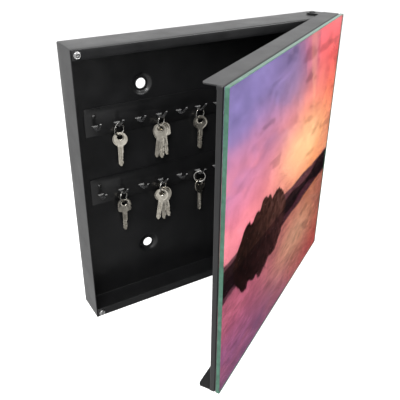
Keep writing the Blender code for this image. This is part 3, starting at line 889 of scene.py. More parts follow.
# ============================================================ fasteners ====
@dataclass
class Fasteners:
    """Rivets, magnets and hinge hardware, all turned."""

    finishes: Finishes
    rivet_head_r: float = 1.75
    rivet_rise: float = 0.85
    rivet_r: float = 1.2
    tail_r: float = 2.2
    magnet_r: float = 3.3
    magnet_proud: float = 2.1
    seat: float = 0.15
    pin_r: float = 2.0
    pin_head_r: float = 3.6
    bore_room: float = 0.3

    def turned(self, node: str, grid: Array, finish: bpy.types.Material, slot: str,
               ring: bool = False) -> None:
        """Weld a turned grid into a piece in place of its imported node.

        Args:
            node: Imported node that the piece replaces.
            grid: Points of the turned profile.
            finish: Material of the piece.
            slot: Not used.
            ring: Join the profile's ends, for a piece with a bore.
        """
        obj = Surface().grid(grid, wrap_rows=ring, wrap_cols=True).build(
            node + "_turned", [finish], merge=MERGE if ring else MERGE_SMALL)
        stand_in(obj, "cabinet", node)

    def rivet(self, node: str) -> None:
        """Domed head, shank and rolled tail.

        The dome is an ellipse quarter: r = R cos t, h = H (1 - sin t).

        Args:
            node: Packed rivet, which gives the place and the length.
        """
        low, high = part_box(node)
        centre = node_centre(node)
        front, back = low.y / MM, high.y / MM
        length, rise = back - front, self.rivet_rise
        profile = [(max(self.rivet_head_r * math.cos(t), POLE), rise * (1 - math.sin(t)))
                   for t in np.radians(np.linspace(90.0, 4.0, 9))]
        profile += [(self.rivet_head_r, rise), (self.rivet_r, rise + 0.01),
                    (self.rivet_r, length - 0.72), (self.tail_r - 0.2, length - 0.70),
                    (self.tail_r, length - 0.5), (self.tail_r - 0.1, length - 0.12),
                    (self.tail_r - 0.5, length), (0.9, length), (0.75, length - 0.25),
                    (POLE, length - 0.3)]
        grid = revolve(profile, (centre[0], front, centre[2]), Vector((0, 1, 0)), 32)
        self.turned(node, grid, self.finishes.rivet, "dark_rivet")

    def magnet(self, node: str) -> None:
        """Plated disc in a turned cup, with a shallow ring groove on its face.

        Args:
            node: Packed magnet, which gives the place.
        """
        low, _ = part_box(node)
        centre = node_centre(node)
        r, top = self.magnet_r, self.magnet_proud
        flat = [(POLE, top - 0.05), (0.55, top - 0.05), (0.75, top), (r - 1.05, top),
                (r - 0.95, top - 0.12), (r - 0.80, top - 0.12), (r - 0.70, top),
                (r - 0.30, top), (r - 0.10, top - 0.08), (r, top - 0.32), (r, 0.35),
                (r - 0.08, self.seat), (1.5, self.seat), (1.5, -1.5), (1.4, -1.6),
                (POLE, -1.6)]
        at = (centre[0], low.y / MM + top, centre[2])
        grid = revolve(rounded_profile(flat, 0.06, 2), at, Vector((0, -1, 0)), 56)
        self.turned(node, grid, self.finishes.magnet, "nickel_magnet")

    def pin(self, node: str, side: Side) -> None:
        """Shouldered pin with a low domed head and a chamfered end.

        Args:
            node: Packed pin, which gives the place and both ends.
            side: HIGH when the head is up, LOW when it is down.
        """
        low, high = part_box(node)
        centre = node_centre(node)
        top = (high.z if side is Side.HIGH else -low.z) / MM
        end = (low.z if side is Side.HIGH else -high.z) / MM
        r, head = self.pin_r, self.pin_head_r
        flat = [(POLE, top), (1.6, top - 0.03), (2.6, top - 0.14), (3.25, top - 0.36),
                (head, top - 0.70), (head, top - 1.0), (r, top - 1.0), (r, end + 0.32),
                (r - 0.3, end), (POLE, end)]
        grid = revolve(rounded_profile(flat, 0.10, 2), (centre[0], centre[1], 0.0),
                       Vector((0, 0, side.value)), 48)
        self.turned(node, grid, self.finishes.pin, "black_zinc_pin")

    def disc(self, node: str, finish: bpy.types.Material, slot: str) -> None:
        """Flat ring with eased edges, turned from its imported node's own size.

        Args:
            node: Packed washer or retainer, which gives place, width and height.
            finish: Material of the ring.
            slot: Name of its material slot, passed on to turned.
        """
        low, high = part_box(node)
        centre = node_centre(node)
        outer = (high.x - low.x) / 2 / MM
        bore, base, top = self.pin_r + self.bore_room, low.z / MM, high.z / MM
        ease = min(0.12, (top - base) / 4)
        flat = [(bore, base + ease), (bore, top - ease), (bore + ease, top),
                (outer - ease, top), (outer, top - ease), (outer, base + ease),
                (outer - ease, base), (bore + ease, base)]
        grid = revolve(flat, (centre[0], centre[1], 0.0), Vector((0, 0, 1)), 48)
        self.turned(node, grid, finish, slot, ring=True)

    def build(self) -> None:
        """Make all the small turned pieces."""
        for level in ("upper", "lower"):
            for side in ("left", "right"):
                self.rivet(f"rail_rivet_{level}_{side}")
            self.magnet(f"catch_magnet_{level}")
            self.pin(f"hinge_pin_{level}", Side.HIGH if level == "upper" else Side.LOW)
            self.disc(f"hinge_washer_{level}", self.finishes.washer, "nylon_washer")
            self.disc(f"pin_retainer_{level}", self.finishes.retainer, "spring_steel")


# ================================================================ shell ====
@dataclass
class Shell:
    """Folded box: back panel with four dished holes, walls and front lips."""

    finishes: Finishes
    half_w: float = 148.5
    half_h: float = 148.2
    sheet: float = 1.0
    fold: float = 1.4
    back: float = -2.5
    front: float = -38.5
    lip: float = 10.3
    dish_x: float = 65.5
    dish_z: float = 96.0
    hole_r: float = 5.4
    pad_r: float = 8.0
    rim_r: float = 11.7
    side_steps: int = 48
    side_x: Array = field(init=False)
    side_z: Array = field(init=False)

    def __post_init__(self) -> None:
        """Place the points along the straight sides, zero included."""
        right, top = self.half_w - self.fold, self.half_h - self.fold
        self.side_x = np.linspace(-right, right, self.side_steps + 1)
        self.side_z = np.linspace(-top, top, self.side_steps + 1)

    def dish_depth(self, r: Array) -> Array:
        """Depth of the skin at a distance from a hole: flat pad, S-curve, panel."""
        return self.back * smoothstep(self.pad_r - 0.5, self.rim_r + 0.5, r)

    def quadrant(self) -> Array:
        """One quarter of the back panel, as rays from its hole to its border.

        Ray j runs from the hole to border point B_j. Row k is at radius r_k
        round the hole, and past the dish it slides from the circle to B_j.

        Returns:
            Array of shape (rows, rays, 3); the last ray joins the first.
        """
        right = self.half_w - self.fold
        top = self.half_h - self.fold
        n = self.side_steps // 2
        xs, zs = self.side_x[n:], self.side_z[n:]
        border = np.vstack([
            np.stack([xs[:-1], np.zeros(n)], 1), np.stack([np.full(n, right), zs[:-1]], 1),
            np.stack([xs[:0:-1], np.full(n, top)], 1), np.stack([np.zeros(n), zs[:0:-1]], 1)])
        hub = np.array([self.dish_x, self.dish_z])
        spoke = border - hub
        reach = np.linalg.norm(spoke, axis=1)
        spoke = spoke / reach[:, None]
        radii = np.concatenate([[self.hole_r, 6.1, 6.9, self.pad_r - 0.5],
                                np.linspace(self.pad_r, self.rim_r + 0.5, 11), [13.2, 15.0]])
        rows = [hub + spoke * r for r in radii]
        depth = [self.dish_depth(np.full(len(border), r)) for r in radii]
        for t in (0.12, 0.3, 0.5, 0.75, 1.0):
            rows.append(hub + spoke * (radii[-1] + (reach - radii[-1]) * t)[:, None])
            depth.append(np.full(len(border), self.back))
        flat, y = np.array(rows), np.array(depth)
        return np.stack([flat[..., 0], y, flat[..., 1]], -1)

    def walls(self, surface: Surface) -> None:
        """Back fold, walls, and the front lips or plain cut edges.

        The back fold is a quarter circle in depth and inset: inset = f(1 - sin t),
        depth = f(1 - cos t). A lip's fold is the same quarter circle again.

        Args:
            surface: Surface that the walls are added to.
        """
        f = self.fold
        rows = []
        for t in FOLD_TURNS:
            loop = rounded_loop(self.half_w, self.half_h, f, f * (1 - math.sin(t)),
                                self.side_x, self.side_z)
            rows.append(on_y(loop, self.back - f * (1 - math.cos(t))))
        outline = rounded_loop(self.half_w, self.half_h, f, 0.0, self.side_x, self.side_z)
        start = self.front + f
        for y in np.linspace(self.back - f, start, 5)[1:]:
            rows.append(on_y(outline, y))
        surface.grid(np.array(rows), wrap_cols=True)
        n, c = len(self.side_x), CORNER_STEPS
        right = outline[n - 1:n + c + len(self.side_z) + c + 1]
        left = right * np.array([-1.0, 1.0])
        for run in (right, left):
            surface.grid(np.array([on_y(run, start), on_y(run, start - f / 2),
                                   on_y(run, self.front)]))
        for sign in (-1, 1):
            lip = []
            for t in FOLD_TURNS:
                z = sign * (self.half_h - f * (1 - math.cos(t)))
                lip.append(np.stack([self.side_x, np.full(n, start - f * math.sin(t)),
                                     np.full(n, z)], 1))
            for z in np.linspace(self.half_h - f, self.half_h - self.lip, 4)[1:]:
                lip.append(np.stack([self.side_x, np.full(n, self.front),
                                     np.full(n, sign * z)], 1))
            surface.grid(np.array(lip))

    def build(self) -> None:
        """Weld the skin, thicken it and round its cut edges."""
        surface = Surface()
        quarter = self.quadrant()
        for sx in (-1, 1):
            for sz in (-1, 1):
                surface.grid(quarter * np.array([sx, 1.0, sz]), wrap_cols=True)
        self.walls(surface)
        obj = surface.build("box_sheet", [self.finishes.shell], inside=(0.0, -20.0, 0.0),
                            merge=MERGE_SHEET)
        thicken(obj, self.sheet)
        soften_edges(obj, CUT_EASE)
        stand_in(obj, "cabinet", "cabinet_shell")


# ================================================================ rails ====
@dataclass
class HookRail:
    """Flat rail with eleven bent hooks."""

    finishes: Finishes
    node: str
    root: float
    width: float = 260.0
    height: float = 30.0
    above: float = 18.0
    sheet: float = 1.0
    face: float = -4.8
    corner: float = 1.5
    ease: float = 0.18
    hooks: int = 11
    pitch: float = 24.0
    hook_half_t: float = 0.5
    root_half_w: float = 3.5
    seat_half_w: float = 2.3
    root_out: float = 1.9
    seat_drop: float = 1.6
    seat_out: float = 8.6
    tip_rise: float = 8.2
    tip_slope: float = 46.0
    round_from: float = 0.965

    def plate(self, surface: Surface) -> None:
        """Flat strip with rounded corners and eased edges.

        Args:
            surface: Surface that the strip is added to.
        """
        half_w, half_h = self.width / 2, self.height / 2
        side_x = np.linspace(-(half_w - self.corner), half_w - self.corner, 41)
        side_z = np.linspace(-(half_h - self.corner), half_h - self.corner, 7)
        middle = self.root + self.above - half_h
        ease = self.ease
        rows = []
        for inset, y in ((ease, self.face), (ease * 0.3, self.face + ease * 0.3),
                         (0.0, self.face + ease), (0.0, self.face + self.sheet - ease),
                         (ease * 0.3, self.face + self.sheet - ease * 0.3),
                         (ease, self.face + self.sheet)):
            loop = rounded_loop(half_w, half_h, self.corner, inset, side_x, side_z, 4)
            rows.append(on_y(loop + np.array([0.0, middle]), y))
        surface.grid(np.array(rows), wrap_cols=True)
        surface.cap(rows[0][::-1])
        surface.cap(rows[-1])

    def hook(self, surface: Surface, x: float) -> None:
        """One hook: a flat section carried along its bent centre line.

        The line runs out of the rail, drops to the seat, and rises to the
        tip. The section keeps its thickness while its width tapers.

        Args:
            surface: Surface that the hook is added to.
            x: Place of the hook along the rail.
        """
        slope, half, drop = math.radians(self.tip_slope), self.hook_half_t, self.seat_drop
        tip = self.seat_out + (self.tip_rise + drop) / math.tan(slope)
        corners = np.array([(-0.55, -half), (self.root_out, -half),
                            (self.root_out, -(drop + half)),
                            (self.seat_out + 0.2, -(drop + half)),
                            (tip + 0.36, self.tip_rise - 0.35)])
        bent = np.array(rounded_profile([tuple(p) for p in corners], 1.1, 5))
        line = resample(bent, 60)
        along = np.linspace(0.0, 1.0, len(line))
        out = line[:, 0]
        narrowing = self.root_half_w - self.seat_half_w
        half_w = np.where(line[:, 1] > -1.2,
                          self.root_half_w - narrowing * smoothstep(1.0, self.root_out, out),
                          self.seat_half_w)
        half_w = np.where(out > 2.2, self.seat_half_w
                          - 0.3 * smoothstep(2.2, self.seat_out, out)
                          - 0.95 * smoothstep(self.seat_out, tip, out), half_w)
        last = np.clip((along - self.round_from) / (1.0 - self.round_from), 0.0, 1.0)
        round_end = np.sqrt(np.clip(1.0 - last ** 2, 0.0, 1.0))
        half_w = half_w * np.maximum(round_end, 0.02)
        half_t = half * (0.35 + 0.65 * round_end)
        section = super_section(half_w, half_t, 20, 5.0)
        tangent = np.gradient(line, axis=0)
        tangent /= np.linalg.norm(tangent, axis=1)[:, None]
        normal = np.stack([-tangent[:, 1], tangent[:, 0]], 1)
        out_up = line[:, None, :] + normal[:, None, :] * section[..., 1:2]
        grid = np.stack([x + section[..., 0], self.face - out_up[..., 0],
                         self.root + out_up[..., 1]], -1)
        surface.grid(grid, wrap_cols=True, slot=1)
        surface.cap(grid[0][::-1], slot=1)
        surface.cap(grid[-1], slot=1)

    def paint_highlights(self, mesh: bpy.types.Mesh) -> None:
        """Give the up-facing root tops and the very tips a lighter coat: a painted highlight.

        A face counts as a root top when it faces up (normal z > 0.7) less than
        2.6 mm out of the rail, and as a tip above root + 7.4 mm.

        Args:
            mesh: Mesh of the welded rail.
        """
        n = len(mesh.polygons)
        slot, middle, normal = np.empty(n, np.int32), np.empty(3 * n), np.empty(3 * n)
        mesh.polygons.foreach_get("material_index", slot)
        mesh.polygons.foreach_get("center", middle)
        mesh.polygons.foreach_get("normal", normal)
        middle, normal = middle.reshape(-1, 3) / MM, normal.reshape(-1, 3)
        out = self.face - middle[:, 1]
        top = ((normal[:, 2] > 0.7) & (out > 0.0) & (out < 2.6)
               & (middle[:, 2] > self.root - 1.2))
        tip = middle[:, 2] > self.root + 7.4
        # These faces take the painted highlight coat.
        slot[(slot == 1) & (top | (tip & (out > 6.0)))] = 2
        mesh.polygons.foreach_set("material_index", slot)

    def build(self) -> None:
        """Make the strip and its row of hooks."""
        surface = Surface()
        self.plate(surface)
        for i in range(self.hooks):
            self.hook(surface, self.pitch * (i - (self.hooks - 1) / 2))
        # The rail coat is painted darker, the hook coat painted lighter, and the third coat is a
        # painted highlight on root tops and tips.
        coats = [self.finishes.rail, self.finishes.hook, self.finishes.wear_and_highlight]
        obj = surface.build(self.node + "_formed", coats, merge=MERGE_SMALL)
        self.paint_highlights(obj.data)
        stand_in(obj, "cabinet", self.node)


# ============================================================= key sets ====
@dataclass(frozen=True)
class KeyShape:
    """Where one key hangs and how it is cut."""

    node: str
    bow: Bow
    cuts: tuple[float, ...]
    tip: float
    yaw: float
    at: float = 0.0
    fan: float = 0.0
    # On a key this flag picks the worn nickel silver finish, which is real wear.
    wear_and_highlight: bool = False


@dataclass
class KeySet:
    """A split ring and its keys on one hook."""

    finishes: Finishes
    body: str
    keys: tuple[KeyShape, ...]
    ring_r: float = 6.5
    wire_w: float = 1.2
    coil_t: float = 0.56
    key_t: float = 1.8
    hole_r: float = 3.0
    hang: float = 1.45
    head_r: float = 7.8
    head_drop: float = 2.6
    crossing_deg: float = 34.0
    wire_start_deg: float = 70.0
    centre: Array = field(init=False)
    yaw: float = field(init=False)

    def __post_init__(self) -> None:
        """Read the ring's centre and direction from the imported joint."""
        joint = next(j for j in FRAME["joints"] if j["child"] == self.body)
        self.centre = np.array(joint["pos_m"], float) / MM
        self.yaw = math.atan2(-joint["axis"][0], joint["axis"][1])

    def ring(self) -> None:
        """Two flat coils of one wire, lying side by side.

        The wire's centre is at angle a from 0 to just under two turns, at
        depth -d before the crossover and +d after it, blended by smoothstep
        over the last part of the first turn.
        """
        crossing = math.radians(self.crossing_deg)
        end = 4 * math.pi - crossing
        a = np.linspace(0.0, end, 150)
        depth = self.coil_t / 2 + 0.02
        shift = -depth + 2 * depth * smoothstep(2 * math.pi - crossing * 0.92,
                                                2 * math.pi - crossing * 0.08, a)
        edge = np.minimum(a, end - a) / math.radians(5.0)
        taper = np.sqrt(np.clip(1 - (1 - np.clip(edge, 0.0, 1.0)) ** 2, 0.0016, 1.0))
        section = super_section(self.wire_w / 2 * taper, self.coil_t / 2 * taper, 14, 3.2)
        start = math.radians(self.wire_start_deg)
        spoke = np.stack([np.cos(a + start), np.zeros_like(a), np.sin(a + start)], 1)
        radius = self.ring_r + section[..., 0]
        grid = spoke[:, None, :] * radius[..., None]
        grid[..., 1] = shift[:, None] + section[..., 1]
        grid = turn_z(grid, self.yaw) + self.centre
        surface = Surface().grid(grid, wrap_cols=True)
        surface.cap(grid[0][::-1]).cap(grid[-1])
        node = self.body + "_ring"
        obj = surface.build(node + "_coils", [self.finishes.ring], merge=MERGE_SMALL)
        stand_in(obj, self.body, node)

    def bow_outline(self, bow: Bow) -> tuple[Array, float, float]:
        """Outline of a head from the right of its neck, over the top, to the left.

        Args:
            bow: Shape of the head.

        Returns:
            The outline, the neck's height and the blade's half width.
        """
        if bow is Bow.ROUND:
            a = np.radians(np.linspace(-66.0, 246.0, 60))
            body = np.stack([self.head_r * np.cos(a),
                             -self.head_drop + self.head_r * np.sin(a)], 1)
            neck, half = -9.8, 2.9
        else:
            if bow is Bow.SQUARE:
                pts = [(2.9, -10.9), (6.3, -9.9), (7.3, -8.8), (7.5, -1.0), (6.9, 1.5),
                       (5.1, 3.6), (2.7, 4.3), (0.0, 4.35)]
                neck, half = -10.9, 2.7
            else:
                pts = [(2.9, -11.6), (4.8, -10.0), (6.7, -6.4), (7.4, -3.0), (7.1, 0.2),
                       (5.8, 2.8), (3.8, 4.3), (1.3, 4.9), (0.0, 4.95)]
                neck, half = -11.6, 2.7
            right = np.array(pts)
            body = np.vstack([right, right[-2::-1] * np.array([-1.0, 1.0])])
            body = smooth_polyline(body, False, 2)
        ends = np.array([[half, neck - 1.2]])
        body = np.vstack([ends, body, ends * np.array([-1.0, 1.0])])
        return resample(body, 97), neck - 1.2, half

    def blade_side(self, shape: KeyShape, half: float, top: float) -> tuple[Array, Array]:
        """Cut side of the blade as heights and half widths, tip upwards.

        Args:
            shape: Key being cut.
            half: Blade's half width.
            top: Height at which the blade meets the head.

        Returns:
            Heights from the tip up, and the half width at each.
        """
        tip = shape.tip
        z, w = [tip, tip + 2.2], [1.0, half - 1.4]
        at = tip + 3.2
        for depth in shape.cuts:
            z += [at, at + 1.1, at + 2.0]
            w += [half - depth, half - depth, half - 0.5]
            at += 3.1
        z += [at + 0.6, top]
        w += [half, half]
        return np.array(z), np.array(w)

    def relief(self, x: Array, z: Array, edge: Array, hole: Array, shape: KeyShape,
               top: float) -> Array:
        """Height of one face above the key's middle plane.

        Half the thickness, less a bevel at the edge and the hole, a sunk field
        on the head, and two milled grooves along the blade.

        Args:
            x: Places across the key.
            z: Places along it.
            edge: Distance of each point from the outline.
            hole: Distance of each point from the hole.
            shape: Key being cut.
            top: Height at which the blade meets the head.

        Returns:
            Heights of the same shape as x.
        """
        base = np.full_like(x, self.key_t / 2)
        bevel = 0.22
        base -= bevel * (1 - np.clip(edge / bevel, 0.0, 1.0))
        base -= 0.15 * (1 - np.clip(hole / 0.2, 0.0, 1.0))
        head = smoothstep(top + 0.8, top + 2.2, z)
        field_in = smoothstep(1.0, 1.45, edge) * smoothstep(0.9, 1.3, hole)
        if shape.bow is Bow.SQUARE:
            field_in = smoothstep(1.9, 2.3, edge) * smoothstep(0.7, 1.0, hole)
        base -= 0.16 * head * field_in
        blade = 1 - smoothstep(top - 2.2, top + 0.4, z)
        groove_a = smoothstep(-1.9, -1.6, x) * (1 - smoothstep(-1.0, -0.7, x))
        groove_b = smoothstep(0.1, 0.35, x) * (1 - smoothstep(0.7, 0.95, x))
        base -= blade * (0.42 * groove_a + 0.30 * groove_b)
        return base

    def key(self, shape: KeyShape) -> None:
        """One key: a ring of cells round the hole, joined to a cut blade.

        Head cells run from the hole's circle to the outline; blade cells run
        from its plain side to its cut side at each height. Both faces use the
        same grid, with the relief as depth, and a wall closes the outline.

        Args:
            shape: Key to make.
        """
        outline, top, half = self.bow_outline(shape.bow)
        columns = 27
        chord = np.stack([np.linspace(-half, half, columns), np.full(columns, top)], 1)
        loop = np.vstack([outline, chord[1:-1]])
        start, stop = -math.radians(62.0), math.radians(242.0)
        t_bow = np.linspace(0.0, 1.0, len(outline))
        a_bow = start + (stop - start) * t_bow
        a_low = stop + (2 * math.pi + start - stop) * np.linspace(0, 1, columns)[1:-1]
        angle = np.concatenate([a_bow, a_low])
        hole = np.stack([np.cos(angle), np.sin(angle)], 1) * self.hole_r
        away = loop - hole
        span = np.linalg.norm(away, axis=1)
        away = away / span[:, None]
        steps = np.concatenate([[0.0, 0.2], np.linspace(0.9, 1.3, 3), [2.0]])
        out_steps = np.array([1.9, 1.45, 1.2, 1.0, 0.22, 0.0])
        rows, edge_d, hole_d = [], [], []
        is_bow = np.concatenate([np.ones(len(outline)), np.zeros(columns - 2)])
        for s in steps:
            d = np.minimum(s, span * 0.42)
            rows.append(hole + away * d[:, None])
            hole_d.append(d)
            edge_d.append(np.where(is_bow > 0, span - d, FAR))
        for s in out_steps:
            d = np.minimum(s, span * 0.42 * s / 2.0 + 1e-9)
            d = np.where(s <= 0.22, np.minimum(s, span * 0.2), d)
            rows.append(loop - away * d[:, None])
            hole_d.append(span - d)
            edge_d.append(np.where(is_bow > 0, d, FAR))
        flat, edge, near_hole = np.array(rows), np.array(edge_d), np.array(hole_d)
        head_h = self.relief(flat[..., 0], flat[..., 1], edge, near_hole, shape, top)
        z_side, w_side = self.blade_side(shape, half, top)
        z = np.linspace(shape.tip, top, 140)
        left = -np.interp(z, [shape.tip, shape.tip + 2.6, top], [1.2, half, half])
        right = np.interp(z, z_side, w_side)
        share = np.linspace(0.0, 1.0, columns)
        x = left[:, None] + (right - left)[:, None] * share
        zz = np.repeat(z[:, None], columns, 1)
        side = np.minimum(x - left[:, None], right[:, None] - x)
        blade_h = self.relief(x, zz, np.minimum(side, zz - shape.tip + 0.03),
                              np.full_like(x, FAR), shape, top)
        seam = np.r_[len(outline) - 1, len(outline):len(loop), 0]
        blade_h[-1] = np.interp(x[-1], flat[-1][seam, 0], head_h[-1][seam])
        surface = Surface()
        for sign in (-1.0, 1.0):
            surface.grid(np.stack([flat[..., 0], sign * head_h, flat[..., 1]], -1),
                         wrap_cols=True)
            surface.grid(np.stack([x, sign * blade_h, zz], -1))
        rim = np.stack([flat[0][:, 0], head_h[0], flat[0][:, 1]], 1)
        surface.grid(np.array([rim * [1, -1, 1], rim]), wrap_cols=True)
        bow = np.stack([flat[-1][:len(outline), 0], head_h[-1][:len(outline)],
                        flat[-1][:len(outline), 1]], 1)
        surface.grid(np.array([bow * [1, -1, 1], bow]))
        for run_x, run_h in ((x[:, 0], blade_h[:, 0]), (x[:, -1], blade_h[:, -1])):
            run = np.stack([run_x, run_h, z], 1)
            surface.grid(np.array([run * [1, -1, 1], run]))
        foot = np.stack([x[0], blade_h[0], zz[0]], 1)
        surface.grid(np.array([foot * [1, -1, 1], foot]))
        surface.points = [self.hung(p, shape) for p in surface.points]
        finish = self.finishes.key_worn if shape.wear_and_highlight else self.finishes.key
        obj = surface.build(shape.node + "_cut", [finish], merge=MERGE_KEY, crease=32.0)
        stand_in(obj, self.body, shape.node)

    def hung(self, points: Array, shape: KeyShape) -> Array:
        """Carry a key's own points to its place on the ring.

        Args:
            points: Points in the key's own place, with its hole at the origin.
            shape: Key that they belong to.

        Returns:
            The points in the model's frame.
        """
        a = math.radians(shape.at)
        wire = np.array([self.ring_r * math.sin(a), 0.0, -self.ring_r * math.cos(a)])
        moved = turn_y(points - np.array([0.0, 0.0, self.hang]), math.radians(shape.fan))
        moved = turn_z(moved, math.radians(shape.yaw) - self.yaw) + wire
        return turn_z(moved, self.yaw) + self.centre

    def build(self) -> None:
        """Make the ring and its keys."""
        self.ring()
        for shape in self.keys:
            self.key(shape)


# ================================================================= door ====
@dataclass
class Picture:
    """Generic sunset over still water, with a wooded islet and low hills.

    u runs from the free edge to the hinge and v upwards, both 0 to 1. Every
    outline is a plain formula with noise on it, and stands for no real place.
    """

    shore: float = 0.42
    sun_u: float = 0.80
    sun_v: float = 0.50
    islet_u: float = 0.30
    islet_half: float = 0.22
    islet_rise: float = 0.13
    gain: float = 0.92
    vivid: float = 1.14
    punch: float = 1.16

    def sky(self, u: Array, v: Array) -> Array:
        """Lavender to pink sky with a warm glow and streaks fanned from the sun.

        Args:
            u: Places across the picture.
            v: Places up the picture.

        Returns:
            Colours, with one more axis than u.
        """
        du, dv = u - self.sun_u, (v - self.sun_v) * 1.1
        far = np.hypot(du, dv)
        fan = np.arctan2(dv, -du)
        streak = layered(fan * 5.0, far * 3.0, 3, 4)
        puff = layered(u * 5.0 + v * 2.0, v * 9.0, 11, 5)
        lavender, violet = np.array([0.245, 0.205, 0.375]), np.array([0.185, 0.150, 0.270])
        pink, rose = np.array([0.72, 0.27, 0.33]), np.array([0.80, 0.17, 0.21])
        gold, pale = np.array([0.93, 0.42, 0.22]), np.array([0.98, 0.66, 0.42])
        height = smoothstep(0.50, 0.92, v + 0.10 * (streak - 0.5))
        colour = pink + (lavender - pink) * height[..., None]
        colour = colour + (violet - colour) * (0.7 * smoothstep(0.86, 1.05, v)
                                               * smoothstep(0.2, 0.6, u))[..., None]
        band = smoothstep(0.42, 0.66, puff) * smoothstep(0.95, 0.55, v) * 0.75
        colour = colour + (np.array([0.80, 0.33, 0.38]) - colour) * band[..., None]
        ray = smoothstep(0.62, 1.02, u + 0.42 * (v - 0.62) + 0.20 * (streak - 0.5))
        colour = colour + (rose - colour) * (ray * smoothstep(0.50, 0.75, v))[..., None]
        warm = np.exp(-(far / 0.36) ** 2) * (0.75 + 0.5 * (streak - 0.5))
        colour = colour + (gold - colour) * np.clip(warm * 1.15, 0, 1)[..., None]
        core = np.exp(-((du + 0.12) / 0.22) ** 2 - ((v - 0.60) / 0.10) ** 2)
        colour = colour + (pale - colour) * np.clip(core * 0.9, 0, 1)[..., None]
        curd = layered(u * 16.0 + 2.5 * streak, v * 30.0 + 3.0 * puff, 71, 4) - 0.5
        colour = colour * (1.0 + 0.42 * curd + 0.30 * (streak - 0.5))[..., None]
        lit = smoothstep(0.52, 0.72, layered(fan * 6.0, far * 2.2, 83, 4))
        lit = lit * smoothstep(0.35, 0.8, u)
        colour = colour + (pale - colour) * (0.22 * lit)[..., None]
        wisp = smoothstep(0.62, 0.74, layered(u * 9.0, v * 26.0, 29, 3))
        return colour * (1 - 0.25 * wisp[..., None])

    def ridge(self, u: Array, lift: float, rise: float, waves: float, seed: int) -> Array:
        """Skyline of one row of hills: shore + lift + rise * noise(waves * u).

        Args:
            u: Places across the picture.
            lift: Least height above the shore.
            rise: Height added by the noise.
            waves: Hills across the picture.
            seed: Picks a different pattern.

        Returns:
            Height of the skyline at each place.
        """
        flat = np.zeros_like(u)
        return self.shore + lift + rise * layered(u * waves, flat, seed, 5)

    def islet(self, u: Array, v: Array) -> tuple[Array, Array]:
        """A wooded islet with rounded tree crowns.

        Its top is shore + rise * sqrt(1 - t^2) * (0.7 + 0.6 * noise), with t the
        distance from its middle over its half width.

        Args:
            u: Places across the picture.
            v: Places up the picture.

        Returns:
            Its colour, and 1 where it stands.
        """
        t = np.clip((u - self.islet_u) / self.islet_half, -1.0, 1.0)
        crowns = layered(u * 24.0, np.zeros_like(u), 19, 4)
        top = self.shore + self.islet_rise * np.sqrt(1.0 - t ** 2) * (0.7 + 0.6 * crowns)
        mask = smoothstep(0.004, -0.004, v - top) * (np.abs(t) < 1.0)
        leaf = layered(u * 70.0, v * 70.0, 23, 4)
        bark = np.array([0.085, 0.042, 0.036])
        lit = 0.35 + 0.9 * smoothstep(-0.6, 1.0, t)
        return bark * (lit * (0.1 + 1.7 * leaf))[..., None], mask

    def upper(self, u: Array, v: Array) -> Array:
        """Everything above the water line: sky, two rows of hills, the islet.

        Args:
            u: Places across the picture.
            v: Places up the picture.

        Returns:
            Colours, with one more axis than u.
        """
        colour = self.sky(u, v)
        rows = (((0.150, 0.070, 0.080), self.ridge(u, 0.020, 0.090, 3.1, 43)),
                ((0.030, 0.016, 0.018), self.ridge(u, 0.002, 0.060, 5.3, 47)))
        for tone, skyline in rows:
            ground = np.array(tone) * (0.5 + layered(u * 50, v * 90, 37, 3))[..., None]
            stands = smoothstep(0.005, -0.005, v - skyline)
            colour = colour + (ground - colour) * stands[..., None]
        islet, mask = self.islet(u, v)
        return colour + (islet - colour) * mask[..., None]

    def paint(self, u: Array, v: Array) -> Array:
        """Whole picture: the upper scene, and its rippled reflection below the shore.

        The water shows the scene at shore + 0.9 * (shore - v), shifted by a
        ripple that grows towards the viewer, darker and a little more violet.

        Args:
            u: Places across the picture.
            v: Places up the picture.

        Returns:
            Ink colours between 0 and 1, with one more axis than u.
        """
        depth = np.clip(self.shore - v, 0.0, 1.0)
        ripple = (layered(u * 14.0, v * 150.0, 51, 3) - 0.5) * (0.012 + 0.075 * depth)
        above = np.maximum(self.shore + (self.shore - v) * 0.9 + ripple * 0.6, self.shore)
        mirror = self.upper(np.clip(u + ripple, 0.0, 1.0), above)
        glint = 1.0 + 0.6 * (layered(u * 30.0, v * 120.0, 63, 3) - 0.5)
        water = mirror * np.array([0.56, 0.51, 0.60]) * glint[..., None]
        colour = np.where((v < self.shore)[..., None], water, self.upper(u, v))
        grey = colour.mean(-1, keepdims=True)
        ink = np.clip((grey + (colour - grey) * self.vivid) * self.gain, 0.0, 1.0)
        return ink ** self.punch


